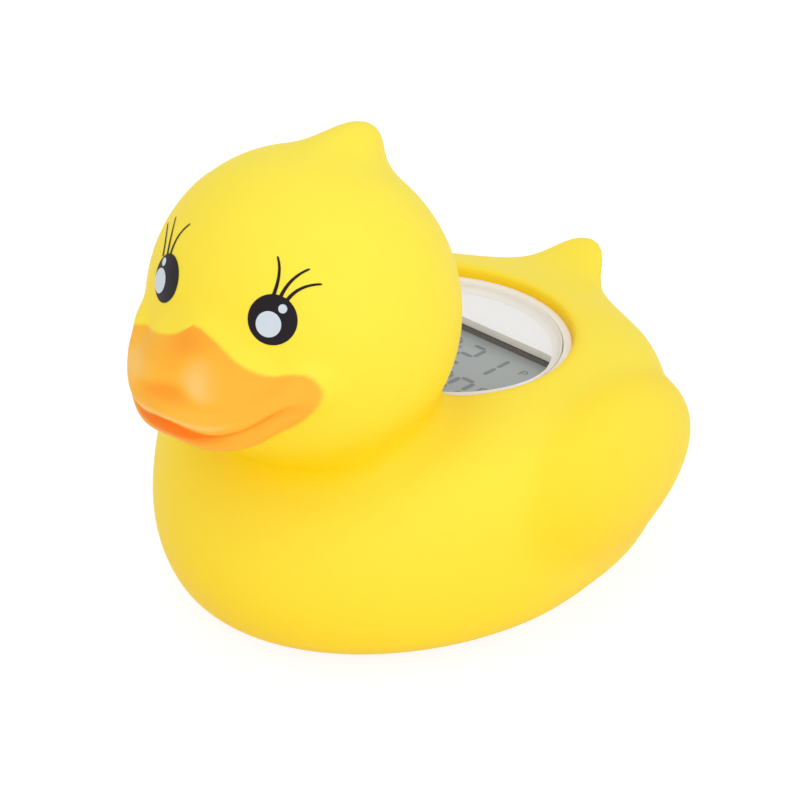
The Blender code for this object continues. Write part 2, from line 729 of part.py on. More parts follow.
def make_display_panel():
    """The dark holder, the liquid crystal panel in it and the rubber strips under its two edges."""
    block = box_mesh("lcd_holder", *HOLDER_HALF, BOARD_TOP + GAP, HOLDER_TOP)
    holder = add_object("lcd_holder", block, HOLDER_PLASTIC, MODULE)
    round_limit = cylinder_mesh("holder_limit", CASE_BORE - GAP - 0.1 * MM, 20 * MM, 40 * MM, ROUND_STEPS)
    combine(holder, module_cutter("holder_limit", round_limit), "INTERSECT")
    sight = box_mesh("sight", *SIGHT_HALF, 20 * MM, 40 * MM)
    combine(holder, module_cutter("holder_sight", sight), "DIFFERENCE")
    pocket = box_mesh("pocket", LCD_HALF[0] + GAP, LCD_HALF[1] + GAP, 20 * MM, LCD_TOP + GAP)
    combine(holder, module_cutter("holder_pocket", pocket), "DIFFERENCE")
    add_object("lcd_panel", box_mesh("lcd_panel", *LCD_HALF, LCD_BOTTOM, LCD_TOP), LCD_GLASS, MODULE)
    for label, side in (("front", -1), ("rear", 1)):
        strip = box_mesh("strip", LCD_HALF[0] - 2 * MM, 0.9 * MM, BOARD_TOP + GAP, LCD_BOTTOM - GAP)
        add_object(f"elastomer_connector_{label}", strip, SOFT_RUBBER, MODULE,
                   (0, side * (LCD_HALF[1] - 1.2 * MM), 0))


def make_board():
    """The circuit board and what is soldered under it."""
    disc = cylinder_mesh("circuit_board", CASE_BORE - 0.6 * MM, BOARD_BOTTOM, BOARD_TOP, ROUND_STEPS)
    board = add_object("circuit_board", disc, BOARD, MODULE)
    flats = box_mesh("flats", CASE_RADIUS, BOARD_HALF_WIDTH, BOARD_BOTTOM - 1 * MM, BOARD_TOP + 1 * MM)
    combine(board, module_cutter("board_flats", flats), "INTERSECT")
    under = BOARD_BOTTOM - GAP
    blob = turned("controller_blob", [(0, under), (5.2 * MM, under), (4.4 * MM, under - 0.9 * MM),
                                      (2.4 * MM, under - 1.5 * MM), (0, under - 1.7 * MM)],
                  EPOXY, 24, MODULE)
    blob.location = (-9 * MM, 5 * MM, 0)
    crystal = cylinder_mesh("timing_crystal", 1.0 * MM, -3 * MM, 3 * MM, 12)
    add_object("timing_crystal", crystal, POLISHED_STEEL, MODULE, (4 * MM, 8 * MM, under - 1.1 * MM),
               (0, math.pi / 2, 0))
    for number, x in enumerate((0, 3, 6), 1):
        chip = box_mesh("chip", 1.0 * MM, 0.6 * MM, under - 0.7 * MM, under)
        add_object(f"chip_part_{number}", chip, HOLDER_PLASTIC, MODULE, (x * MM, 3.5 * MM, 0))


def bent_wire(name, points, radius, finish):
    """A round wire along a smooth route."""
    curve = bpy.data.curves.new(name, "CURVE")
    curve.dimensions = "3D"
    curve.bevel_depth = radius
    curve.bevel_resolution = 1
    curve.use_fill_caps = True
    line = curve.splines.new("POLY")
    line.points.add(len(points) - 1)
    for point, place in zip(line.points, points):
        point.co = (*place, 1)
    wire = bpy.data.objects.new(name, curve)
    wire.parent = MODULE
    curve.materials.append(finish)
    PARTS.objects.link(wire)


def eased_route(start, end, sway, steps=10):
    """Points from one height to another, straight at both ends and swayed between."""
    start, end, sway = Vector(start), Vector(end), Vector(sway)
    route = []
    for i in range(steps + 1):
        t = i / steps
        ease = t * t * (3 - 2 * t)
        flat = start.lerp(end, ease)
        height = start.z + (end.z - start.z) * t
        bulge = sway * math.sin(math.pi * t) ** 2
        route.append((flat.x + bulge.x, flat.y + bulge.y, height))
    return route


def make_lower_housing():
    """The white lower case: a spigot with the seal's groove, a round wall, belly boss and battery bay."""
    floor = BELLY_BOTTOM + 1.9 * MM
    spigot = CASE_BORE - GAP
    spigot_bore = CASE_BORE - 2.0 * MM
    groove_low = CASE_JOINT + 0.8 * MM
    groove_high = CASE_JOINT + 2.1 * MM
    spigot_top = CASE_JOINT + 3.0 * MM
    housing = turned("lower_housing", [
        (spigot, spigot_top), (spigot, groove_high), (spigot - 1.0 * MM, groove_high),
        (spigot - 1.0 * MM, groove_low), (spigot, groove_low), (spigot, CASE_JOINT),
        (CASE_RADIUS, CASE_JOINT), (CASE_RADIUS, 8.5 * MM), (22.6 * MM, 4.4 * MM), (BELLY_RADIUS, 4.4 * MM),
        (BELLY_RADIUS, BELLY_BOTTOM + 0.4 * MM), (BELLY_RADIUS - 0.4 * MM, BELLY_BOTTOM), (0, BELLY_BOTTOM),
        (0, floor), (18 * MM, floor), (21.2 * MM, 6.6 * MM), (CASE_BORE, 9.4 * MM),
        (CASE_BORE, CASE_JOINT - 2.0 * MM), (spigot_bore, CASE_JOINT), (spigot_bore, spigot_top)],
        CASE_PLASTIC, ROUND_STEPS, MODULE)
    ears = [(side * EAR_REACH, DOOR_MIDDLE[1]) for side in (-1, 1)]
    root = floor - 1 * MM
    bay = cylinder_mesh("bay", BAY_RADIUS + 1.4 * MM, root, BAY_ROOF)
    combine(housing, module_cutter("bay_wall", bay, DOOR_MIDDLE), "UNION")
    well = cylinder_mesh("well", PROBE_RADIUS + 1.6 * MM, root, 8 * MM, 20)
    combine(housing, module_cutter("probe_well", well, PROBE_MIDDLE), "UNION")
    for number, place in enumerate(ears, 1):
        boss = cylinder_mesh("boss", 2.3 * MM, root, 9.3 * MM, 16)
        combine(housing, module_cutter(f"ear_boss_{number}", boss, place), "UNION")
    deep = BELLY_BOTTOM - 3 * MM
    seat = BELLY_BOTTOM + DOOR_THICK + GAP
    cuts = [("bay_hollow", BAY_RADIUS, BAY_TOP, 32, DOOR_MIDDLE),
            ("door_seat", DOOR_RADIUS + GAP, seat, 32, DOOR_MIDDLE),
            ("probe_bore", PROBE_RADIUS + GAP, 12 * MM, 20, PROBE_MIDDLE)]
    for number, place in enumerate(ears, 1):
        cuts.append((f"ear_seat_{number}", EAR_RADIUS + GAP, seat, 16, place))
        cuts.append((f"ear_pilot_{number}", DOOR_SHANK + GAP, 8.2 * MM, 12, place))
    for label, place in CONTACT_PLACES.items():
        cuts.append((f"contact_way_{label}", CONTACT_RADIUS + GAP, 12 * MM, 12, place))
    for name, radius, top, segments, place in cuts:
        tool = module_cutter(name, cylinder_mesh(name, radius, deep, top, segments), place)
        combine(housing, tool, "DIFFERENCE")
    slots = {"positive": (CELL_RADIUS + 0.5 * MM, 0.5 * MM, 1.9 * MM), "negative": (0, 1.9 * MM, 0.5 * MM)}
    for label, (x, half_x, half_y) in slots.items():
        slot = box_mesh("slot", half_x, half_y, BAY_TOP - 1 * MM, BAY_ROOF + 2 * MM)
        combine(housing, module_cutter(f"tab_slot_{label}", slot, (DOOR_MIDDLE[0] + x, DOOR_MIDDLE[1])),
                "DIFFERENCE")


def make_screw(name, place, head_bottom, head_radius, shank_top, shank_radius):
    """A small pan-head screw that points up, with a crossed recess."""
    neck = head_bottom + 1.1 * MM
    screw = turned(name, [
        (0, shank_top), (shank_radius * 0.5, shank_top), (shank_radius, shank_top - 0.8 * MM),
        (shank_radius, neck), (head_radius, neck), (head_radius, head_bottom + 0.5 * MM),
        (head_radius * 0.7, head_bottom), (0, head_bottom)], POLISHED_STEEL, 16, MODULE)
    screw.location = (place[0], place[1], 0)
    for number, turn in enumerate((0, math.pi / 2), 1):
        slot = box_mesh("slot", head_radius * 0.6, 0.22 * MM, head_bottom - 1 * MM, head_bottom + 0.6 * MM)
        tool = module_cutter(f"{name}_slot_{number}", slot, place)
        tool.rotation_euler = (0, 0, turn)
        combine(screw, tool, "DIFFERENCE")


def ring_seal(name, outer, inner, low, high, place=(0, 0)):
    """A soft ring with slightly rounded corners."""
    ease = (high - low) * 0.25
    seal = turned(name, [
        (outer - ease, high), (outer, high - ease), (outer, low + ease), (outer - ease, low),
        (inner + ease, low), (inner, low + ease), (inner, high - ease), (inner + ease, high)],
        SOFT_RUBBER, 28, MODULE)
    seal.location = (*place, 0)
    return seal


def make_battery_door():
    """Door with two ears, the seal around its spigot, and its two screws."""
    low = BELLY_BOTTOM
    high = BELLY_BOTTOM + DOOR_THICK
    spigot = BAY_RADIUS - GAP
    groove = BAY_RADIUS - 1.2 * MM
    door = turned("battery_door", [
        (0, high + 2.4 * MM), (spigot, high + 2.4 * MM), (spigot, high + 1.7 * MM), (groove, high + 1.7 * MM),
        (groove, high + 0.5 * MM), (spigot, high + 0.5 * MM), (spigot, high), (DOOR_RADIUS, high),
        (DOOR_RADIUS, low), (0, low)], CASE_PLASTIC, 28, MODULE)
    door.location = (*DOOR_MIDDLE, 0)
    hollow = cylinder_mesh("hollow", BAY_RADIUS - 3 * MM, high, high + 5 * MM, 32)
    combine(door, module_cutter("door_hollow", hollow, DOOR_MIDDLE), "DIFFERENCE")
    for number, side in enumerate((-1, 1), 1):
        place = (side * EAR_REACH, DOOR_MIDDLE[1])
        ear = cylinder_mesh("ear", EAR_RADIUS, low, high, 16)
        combine(door, module_cutter(f"door_ear_{number}", ear, place), "UNION")
        way = cylinder_mesh("way", DOOR_SHANK + GAP, low - 2 * MM, high + 2 * MM, 12)
        combine(door, module_cutter(f"door_way_{number}", way, place), "DIFFERENCE")
        sunk = cylinder_mesh("sunk", 1.5 * MM + GAP, low - 2 * MM, low + 0.9 * MM, 16)
        combine(door, module_cutter(f"door_sunk_{number}", sunk, place), "DIFFERENCE")
        make_screw(f"door_screw_{number}", place, BELLY_BOTTOM - 0.5 * MM, 1.5 * MM, 7.6 * MM, DOOR_SHANK)
    grip = box_mesh("grip", 4.5 * MM, 0.7 * MM, low - 2 * MM, low + 0.6 * MM)
    combine(door, module_cutter("door_grip", grip, DOOR_MIDDLE), "DIFFERENCE")
    ring_seal("door_seal", BAY_RADIUS - 0.15 * MM, BAY_RADIUS - 0.9 * MM, high + 0.8 * MM, high + 1.4 * MM,
              DOOR_MIDDLE)


def make_battery():
    """The coin cell between its two sprung contacts, and their leads up to the board."""
    cell = turned("coin_cell", [
        (0, CELL_TOP), (8.6 * MM, CELL_TOP), (8.8 * MM, CELL_TOP - 0.3 * MM),
        (CELL_RADIUS, CELL_TOP - 0.5 * MM), (CELL_RADIUS, CELL_BOTTOM + 0.2 * MM),
        (CELL_RADIUS - 0.3 * MM, CELL_BOTTOM), (0, CELL_BOTTOM)], POLISHED_STEEL, 32, MODULE)
    cell.location = (*DOOR_MIDDLE, 0)
    half = CONTACT_THICK / 2
    positive = box_mesh("battery_contact_positive", half, 1.5 * MM, CELL_BOTTOM + 0.4 * MM, TAB_TOP)
    positive_x = DOOR_MIDDLE[0] + CELL_RADIUS + 0.5 * MM
    add_object("battery_contact_positive", positive, SPRING_BRASS, MODULE, (positive_x, DOOR_MIDDLE[1], 0))
    low = CELL_TOP + GAP
    spring = box_mesh("battery_contact_negative", 5 * MM, 1.5 * MM, low, low + CONTACT_THICK)
    negative = add_object("battery_contact_negative", spring, SPRING_BRASS, MODULE, (*DOOR_MIDDLE, 0))
    tab = box_mesh("tab", 1.5 * MM, half, CELL_TOP + GAP + half, TAB_TOP)
    combine(negative, module_cutter("negative_tab", tab, DOOR_MIDDLE), "UNION")
    for label, x in (("positive", positive_x), ("negative", DOOR_MIDDLE[0])):
        start = (x, DOOR_MIDDLE[1], TAB_TOP + GAP)
        end = (x * 0.7 + 2 * MM, DOOR_MIDDLE[1] + 2 * MM, BOARD_BOTTOM - GAP)
        bent_wire(f"battery_lead_{label}", eased_route(start, end, (0, -1.5 * MM, 0)), 0.5 * MM, SOFT_RUBBER)


def make_sensors():
    """Steel probe cap with the thermistor in it, and the two water contacts."""
    wall = 0.5 * MM
    tip = BELLY_BOTTOM - 1.2 * MM
    cap = turned("probe_cap", [
        (PROBE_RADIUS + 1.2 * MM, 9.1 * MM), (PROBE_RADIUS + 1.2 * MM, 8.3 * MM), (PROBE_RADIUS, 8.3 * MM),
        (PROBE_RADIUS, tip + 1.2 * MM), (PROBE_RADIUS * 0.7, tip + 0.35 * MM), (0, tip),
        (0, tip + wall), (PROBE_RADIUS * 0.6, tip + wall + 0.3 * MM), (PROBE_RADIUS - wall, tip + 1.4 * MM),
        (PROBE_RADIUS - wall, 9.1 * MM)], POLISHED_STEEL, 20, MODULE)
    cap.location = (*PROBE_MIDDLE, 0)
    bead = bmesh.new()
    bmesh.ops.create_uvsphere(bead, u_segments=12, v_segments=8, radius=1.0 * MM)
    mesh = bpy.data.meshes.new("thermistor")
    bead.to_mesh(mesh)
    bead.free()
    smooth(mesh)
    add_object("thermistor", mesh, EPOXY, MODULE, (*PROBE_MIDDLE, tip + 2.4 * MM))
    for label, side in (("left", 1), ("right", -1)):
        start = (side * 0.5 * MM, PROBE_MIDDLE[1], tip + 3.7 * MM)
        end = (side * 2.0 * MM, PROBE_MIDDLE[1] - 1.5 * MM, BOARD_BOTTOM - GAP)
        route = eased_route(start, end, (side * GAP, 0, 0))
        bent_wire(f"thermistor_lead_{label}", route, 0.2 * MM, POLISHED_STEEL)
    for label, (x, y) in CONTACT_PLACES.items():
        contact = turned(f"water_contact_{label}", [
            (0, 9.0 * MM), (CONTACT_RADIUS * 0.8, 9.0 * MM), (CONTACT_RADIUS, 8.6 * MM),
            (CONTACT_RADIUS, BELLY_BOTTOM - GAP), (1.9 * MM, BELLY_BOTTOM - GAP),
            (1.6 * MM, BELLY_BOTTOM - 0.8 * MM), (0, BELLY_BOTTOM - 1.0 * MM)], POLISHED_STEEL, 16, MODULE)
        contact.location = (x, y, 0)
        start = (x, y, 9.3 * MM)
        end = (x * 0.8, y - 0.5 * MM, BOARD_BOTTOM - GAP)
        route = eased_route(start, end, (0, GAP, 0))
        bent_wire(f"water_contact_lead_{label}", route, 0.25 * MM, POLISHED_STEEL)


make_upper_housing()
make_lens_ring()
make_face_plate()
make_display_panel()
make_board()
make_lower_housing()
ring_seal("housing_seal", CASE_BORE - 0.15 * MM, CASE_BORE - 1.15 * MM, CASE_JOINT + 1.05 * MM,
          CASE_JOINT + 1.85 * MM)
make_battery_door()
make_battery()
make_sensors()

# The whole model moves as one, so that the origin is under the middle of its length
for item in list(PARTS.objects) + list(CUTTERS.objects):
    if item.parent is None:
        item.location.y += ORIGIN_SHIFT
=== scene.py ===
import math

import bmesh
import bpy
import numpy as np
from mathutils import Matrix, Vector


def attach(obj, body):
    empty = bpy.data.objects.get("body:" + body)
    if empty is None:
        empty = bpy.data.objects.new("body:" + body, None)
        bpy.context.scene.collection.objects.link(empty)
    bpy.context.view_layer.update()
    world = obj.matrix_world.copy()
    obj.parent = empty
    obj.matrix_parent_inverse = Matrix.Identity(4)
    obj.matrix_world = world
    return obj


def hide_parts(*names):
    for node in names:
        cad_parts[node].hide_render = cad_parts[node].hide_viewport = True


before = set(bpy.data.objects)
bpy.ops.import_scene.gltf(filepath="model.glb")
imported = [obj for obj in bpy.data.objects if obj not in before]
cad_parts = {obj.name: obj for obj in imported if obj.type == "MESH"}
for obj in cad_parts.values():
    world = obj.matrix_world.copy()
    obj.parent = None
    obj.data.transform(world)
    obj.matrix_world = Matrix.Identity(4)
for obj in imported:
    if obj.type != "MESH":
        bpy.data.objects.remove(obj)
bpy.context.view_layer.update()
print("frame loaded,", len(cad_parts), "solids")

mm = 0.001


def scaled(*values):
    return tuple(value * mm for value in values)


# shape of the duck, in metres
duck = {
    "wall": 2.2 * mm, "originShift": 1.69 * mm,
    "bodyMiddle": scaled(0, 4.9, 18.5), "bodyHalf": scaled(39.6, 41.5, 28.6), "bodyPower": 2.49,
    "breastMiddle": scaled(0, -17.6, 15.0), "breastHalf": scaled(26.0, 28.0, 21.1), "breastBlend": 10.9 * mm,
    "backHeight": 39.2 * mm, "backBlend": 6.6 * mm,
    "footBlend": 6.2 * mm, "soleBlend": 2.4 * mm, "soleEase": 0.3 * mm,
    "tailMiddle": scaled(0, 46.7, 33.9), "tailHalf": scaled(5.9, 9.0, 1.4), "tailTilt": 25.3,
    "tailBlend": 8.2 * mm,
    "wingMiddle": scaled(32.9, 9.75, 22.9), "wingHalf": scaled(9.4, 24.6, 14.0), "wingTilt": -3.1,
    "wingBlend": 3.1 * mm,
    "headMiddle": scaled(0, -25.5, 55.15), "headHalf": scaled(25.0, 23.5, 25.6),
    "crestMiddle": scaled(0, -14.8, 77.9), "crestHalf": scaled(3.5, 6.3, 4.0), "crestTilt": 7.6,
    "crestBlend": 5.85 * mm, "neckBlend": 6.2 * mm,
    "recessMiddle": scaled(0, 7.5, 39.2), "recessHalf": scaled(24.9, 24.9, 11.5), "recessFloor": 40.4 * mm,
    "recessBlend": 1.6 * mm,
}
bill = {
    "width": 15.0 * mm, "back": -44.5 * mm, "reach": 12.1 * mm, "power": 1.62, "lip": 1.5 * mm,
    "height": 50.4 * mm, "dip": 0.85 * mm, "rise": 3.4 * mm,
    "lowerWidth": 14.5 * mm, "lowerReach": 10.8 * mm, "lowerDrop": 2.75 * mm, "lowerLip": 1.7 * mm,
    "lobeMiddle": scaled(4.3, -46.5, 52.75), "lobeHalf": scaled(8.6, 10.1, 5.9), "lobeTilt": 25.0,
    "lobeGap": 2 * mm, "lobeBlend": 1.9 * mm,
    "rootMiddle": scaled(0, -46.0, 57.1), "rootHalf": scaled(4.3, 3.1, 4.3), "rootTilt": 20,
    "rootBlend": 3.9 * mm,
    "cheekMiddle": scaled(15.4, -41.8, 53.7), "cheekRadius": 2.5 * mm, "cheekBlend": 3.9 * mm,
    "chinMiddle": scaled(0, -46.5, 46.5), "chinHalf": scaled(12.1, 8.7, 2.8), "chinTilt": 3,
    "chinBlend": 3.1 * mm,
    "upperBlend": 3.9 * mm, "lowerBlend": 1.95 * mm, "mouthBlend": 0.6 * mm,
}
module = {
    "place": scaled(0, 7.5, 0), "turn": -5.4,
    "ringRadius": 23.78 * mm, "ringTop": 36.8 * mm, "shoulderTop": 35.9 * mm, "caseRadius": 25.2 * mm,
    "caseBore": 23.4 * mm, "caseJoint": 22.8 * mm,
    "lensRingRadius": 22.1 * mm, "lensRingBore": 20.5 * mm,
    "plateTop": 35.3 * mm, "plateBottom": 33.9 * mm,
    "windowSide": 11.6 * mm, "windowRadius": 20.7 * mm, "archRadius": 19.7 * mm, "archMiddle": 4.8 * mm,
    "windowCorner": 1.3 * mm, "holderHalf": scaled(20.0, 12.9), "sightHalf": scaled(18.5, 11.6),
    "holderTop": 33.6 * mm, "glassTop": 32.7 * mm, "glassBottom": 30.9 * mm, "boardTop": 27.0 * mm,
    "backHole": 23.75 * mm, "bellyHole": 20.3 * mm, "rimBlend": 1.3 * mm,
    "backDepth": 31 * mm, "bellyDepth": 7 * mm, "pocketRise": 1.4 * mm, "pocketBlend": 1 * mm,
    "bellyBlend": 0.8 * mm,
    "lipWidth": 2.5 * mm, "lipGap": 0.06 * mm, "lipTop": 52 * mm,
}


def softMin(a, b, blend):
    overlap = np.maximum(blend - np.abs(a - b), 0) / blend
    return np.minimum(a, b) - overlap * overlap * blend / 4


def softMax(a, b, blend):
    return -softMin(-a, -b, blend)


def leaned(points, middle, degrees):
    angle = math.radians(degrees)
    cosine, sine = math.cos(angle), math.sin(angle)
    x, y, z = (points - np.array(middle)).T
    return np.stack([x, y * cosine + z * sine, z * cosine - y * sine], 1)


def eggShape(points, half):
    half = np.array(half)
    near = np.linalg.norm(points / half, axis=1)
    slope = np.linalg.norm(points / half ** 2, axis=1)
    return near * (near - 1) / np.maximum(slope, 1e-9)


def squareEgg(points, half, power):
    return (((np.abs(points) / np.array(half)) ** power).sum(1) ** (1 / power) - 1) * min(half)


def bead(points, path, radius):
    nearest = np.full(len(points), 1.0)
    for start, end in zip(path[:-1], path[1:]):
        along = end - start
        share = np.clip((points - start) @ along / (along @ along), 0, 1)
        nearest = np.minimum(nearest, np.linalg.norm(points - start - share[:, None] * along, axis=1))
    return nearest - radius


def smileLine(width, reach, drop, steps=32):
    turn = np.linspace(0, math.pi / 2, steps)
    x = width * np.sin(turn) ** (2 / bill["power"])
    y = bill["back"] - reach * np.cos(turn) ** (2 / bill["power"])
    share = x / (0.967 * bill["width"])
    dip = bill["dip"] * np.sin(math.pi * np.clip(share, 0, 1)) ** 2
    z = bill["height"] - dip + bill["rise"] * share ** 3.3 - drop * (1 + 0.12 * share)
    return np.stack([x, y, z], 1)


upperLip = smileLine(bill["width"], bill["reach"], 0)
lowerLip = smileLine(bill["lowerWidth"], bill["lowerReach"], bill["lowerDrop"])


def billShapes(points):
    half = points.copy()
    half[:, 0] = np.abs(points[:, 0])
    lobePoints = half.copy()
    lobePoints[:, 0] = np.hypot(half[:, 0], bill["lobeGap"])
    lobe = eggShape(leaned(lobePoints, bill["lobeMiddle"], bill["lobeTilt"]), bill["lobeHalf"])
    upper = softMin(bead(half, upperLip, bill["lip"]), lobe, bill["lobeBlend"])
    root = eggShape(leaned(half, bill["rootMiddle"], bill["rootTilt"]), bill["rootHalf"])
    upper = softMin(upper, root, bill["rootBlend"])
    cheek = np.linalg.norm(half - np.array(bill["cheekMiddle"]), axis=1) - bill["cheekRadius"]
    upper = softMin(upper, cheek, bill["cheekBlend"])
    chin = eggShape(leaned(half, bill["chinMiddle"], bill["chinTilt"]), bill["chinHalf"])
    lower = softMin(chin, bead(half, lowerLip, bill["lowerLip"]), bill["chinBlend"])
    return upper, lower


def headShape(points):
    crest = eggShape(leaned(points, duck["crestMiddle"], duck["crestTilt"]), duck["crestHalf"])
    head = eggShape(points - np.array(duck["headMiddle"]), duck["headHalf"])
    return softMin(head, crest, duck["crestBlend"])


def trunkShape(points):
    return squareEgg(points - np.array(duck["bodyMiddle"]), duck["bodyHalf"], duck["bodyPower"])


def wingShape(points):
    mirrored = np.abs(points) * np.array([1, 0, 0]) + points * np.array([0, 1, 1])
    return eggShape(leaned(mirrored, duck["wingMiddle"], duck["wingTilt"]), duck["wingHalf"])


def bodyShape(points):
    breast = eggShape(points - np.array(duck["breastMiddle"]), duck["breastHalf"])
    body = softMin(trunkShape(points), breast, duck["breastBlend"])
    body = softMax(body, points[:, 2] - duck["backHeight"], duck["backBlend"])
    tail = eggShape(leaned(points, duck["tailMiddle"], duck["tailTilt"]), duck["tailHalf"])
    body = softMin(body, tail, duck["tailBlend"])
    underFloor = -points[:, 2] - duck["soleBlend"] / 4
    body = softMax(body, underFloor, duck["footBlend"])
    return softMax(softMin(body, wingShape(points), duck["wingBlend"]), underFloor, duck["soleBlend"])


def withRecess(shape, points):
    recess = eggShape(points - np.array(duck["recessMiddle"]), duck["recessHalf"])
    recess = softMax(recess, duck["recessFloor"] - points[:, 2], duck["recessBlend"])
    return softMax(shape, -recess, duck["recessBlend"])


def fromModuleAxis(points):
    return np.hypot(points[:, 0], points[:, 1] - module["place"][1])


def hollowShape(points):
    return withRecess(softMin(bodyShape(points), headShape(points), duck["neckBlend"]), points)


def skinShape(points):
    face = headShape(points)
    near = (points[:, 1] < -30 * mm) & (points[:, 2] > 36 * mm)
    if near.any():
        upper, lower = billShapes(points[near])
        head = face[near]
        upper = softMin(head, upper, bill["upperBlend"])
        lower = softMin(lower, head, bill["lowerBlend"])
        face[near] = softMin(upper, lower, bill["mouthBlend"])
    whole = withRecess(softMin(bodyShape(points), face, duck["neckBlend"]), points)
    across, height, blend = fromModuleAxis(points), points[:, 2], module["pocketBlend"]
    pocket = softMax(across - module["backHole"], module["backDepth"] - height, blend)
    pocket = softMax(pocket, height - duck["recessFloor"] - module["pocketRise"], blend)
    whole = softMax(whole, -pocket, module["rimBlend"])
    bellyPocket = softMax(across - module["bellyHole"], height - module["bellyDepth"], blend)
    return softMax(whole, -bellyPocket, module["bellyBlend"])


def slopeOf(shape, points, here):
    step = 0.04 * mm
    return np.stack([(shape(points + axis * step) - here) / step for axis in np.eye(3)], 1)


def pulledTo(shape, points, depth, rounds):
    points = points.copy()
    for _ in range(rounds):
        here = shape(points)
        slope = slopeOf(shape, points, here)
        size = np.maximum(np.linalg.norm(slope, axis=1), 0.2)
        move = np.clip((here + depth * size) / size, -2 * mm, 2 * mm)
        points -= slope / size[:, None] * move[:, None]
    return points


# small mesh helpers
def readPoints(mesh, field="co"):
    flat = np.empty(len(mesh.vertices) * 3, dtype=np.float32)
    mesh.vertices.foreach_get(field, flat)
    return flat.reshape(-1, 3)


def writePoints(mesh, points):
    mesh.vertices.foreach_set("co", points.astype(np.float32).ravel())


def meshFrom(shape, name):
    mesh = bpy.data.meshes.new(name)
    shape.to_mesh(mesh)
    shape.free()
    return mesh


def smoothed(shape, verts):
    bmesh.ops.smooth_vert(shape, verts=verts, factor=0.5, use_axis_x=True, use_axis_y=True, use_axis_z=True)


def pullMesh(mesh, shape, depth, passes, rounds):
    for _ in range(passes):
        soft = bmesh.new()
        soft.from_mesh(mesh)
        smoothed(soft, soft.verts)
        soft.to_mesh(mesh)
        soft.free()
        writePoints(mesh, pulledTo(shape, readPoints(mesh).astype(float), depth, rounds))
    mesh.update()


def evaluated(thing):
    bpy.context.view_layer.update()
    return bpy.data.meshes.new_from_object(thing.evaluated_get(bpy.context.evaluated_depsgraph_get()))


def throughModifier(mesh, kind, **settings):
    holder = bpy.data.objects.new("holder", mesh)
    bpy.context.scene.collection.objects.link(holder)
    step = holder.modifiers.new(kind, kind)
    for name, value in settings.items():
        setattr(step, name, value)
    result = evaluated(holder)
    bpy.data.objects.remove(holder)
    return result


def cutBy(mesh, toolMesh, operation="DIFFERENCE"):
    tool = bpy.data.objects.new("tool", toolMesh)
    bpy.context.scene.collection.objects.link(tool)
    result = throughModifier(mesh, "BOOLEAN", operation=operation, object=tool)
    bpy.data.objects.remove(tool)
    return result


def coneMesh(radius, low, high, topRadius=None, steps=64, place=(0, 0, 0)):
    shape = bmesh.new()
    bmesh.ops.create_cone(shape, cap_ends=True, segments=steps, radius1=radius,
                          radius2=radius if topRadius is None else topRadius, depth=high - low,
                          matrix=Matrix.Translation(Vector(place) + Vector((0, 0, (low + high) / 2))))
    return meshFrom(shape, "cone")


moduleMatrix = Matrix.Translation(module["place"]) @ Matrix.Rotation(math.radians(module["turn"]), 4, "Z")


# every piece is laid out from the middle of the duck's body, and the frame's origin is under its whole length
def addPiece(name, mesh, finish, node=None, matrix=None, sharp=40):
    if matrix is not None:
        mesh.transform(matrix)
    mesh.transform(Matrix.Translation((0, duck["originShift"], 0)))
    mesh.name = name
    mesh.shade_smooth()
    if sharp:
        mesh.set_sharp_from_angle(angle=math.radians(sharp))
    mesh.materials.clear()
    mesh.materials.append(finish)
    piece = bpy.data.objects.new(name, mesh)
    bpy.context.scene.collection.objects.link(piece)
    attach(piece, "root")
    if node:
        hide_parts(node)


# materials
def newMaterial(name):
    made = bpy.data.materials.new(name)
    made.use_nodes = True
    nodes = made.node_tree.nodes
    return made, nodes, made.node_tree.links, nodes["Principled BSDF"]


def linear(red, green, blue):
    shares = (value / 255 for value in (red, green, blue))
    return tuple(((share + 0.055) / 1.055) ** 2.4 for share in shares) + (1.0,)


def objectNoise(nodes, links, scale, detail=3.0):
    coordinates = nodes.new("ShaderNodeTexCoord")
    noise = nodes.new("ShaderNodeTexNoise")
    noise.inputs["Scale"].default_value = scale
    noise.inputs["Detail"].default_value = detail
    links.new(coordinates.outputs["Object"], noise.inputs["Vector"])
    return noise


def addBump(nodes, links, shader, height, strength, distance):
    bump = nodes.new("ShaderNodeBump")
    bump.inputs["Strength"].default_value = strength
    bump.inputs["Distance"].default_value = distance
    links.new(height, bump.inputs["Height"])
    links.new(bump.outputs["Normal"], shader.inputs["Normal"])


def plasticLook(name, colour, roughness, specular=0.5, metallic=0.0, bump=0.04, mottle=0.03):
    made, nodes, links, shader = newMaterial(name)
    noise = objectNoise(nodes, links, 900.0)
    tint = nodes.new("ShaderNodeMix")
    tint.data_type = "RGBA"
    tint.inputs["A"].default_value = colour
    tint.inputs["B"].default_value = tuple(value * (1 - 2 * mottle) for value in colour[:3]) + (1.0,)
    links.new(noise.outputs["Fac"], tint.inputs["Factor"])
    links.new(tint.outputs["Result"], shader.inputs["Base Color"])
    gloss = nodes.new("ShaderNodeMapRange")
    gloss.inputs["To Min"].default_value = roughness * 0.9
    gloss.inputs["To Max"].default_value = min(1.0, roughness * 1.1)
    links.new(noise.outputs["Fac"], gloss.inputs["Value"])
    links.new(gloss.outputs["Result"], shader.inputs["Roughness"])
    shader.inputs["Metallic"].default_value = metallic
    shader.inputs["Specular IOR Level"].default_value = specular
    addBump(nodes, links, shader, noise.outputs["Fac"], bump, 0.0002)
    return made


# the yellow as it looks in painted light and in painted shade; the bill's orange runs from a painted
# highlight through its own orange to painted shade
vinylColours = {
    "litYellow": (1.0, 0.83, 0.075, 1), "deep": (1.0, 0.64, 0.0, 1),
    "bill": [(0.0, linear(255, 208, 122)), (0.45, linear(254, 184, 58)), (1.0, linear(254, 126, 12))],
}


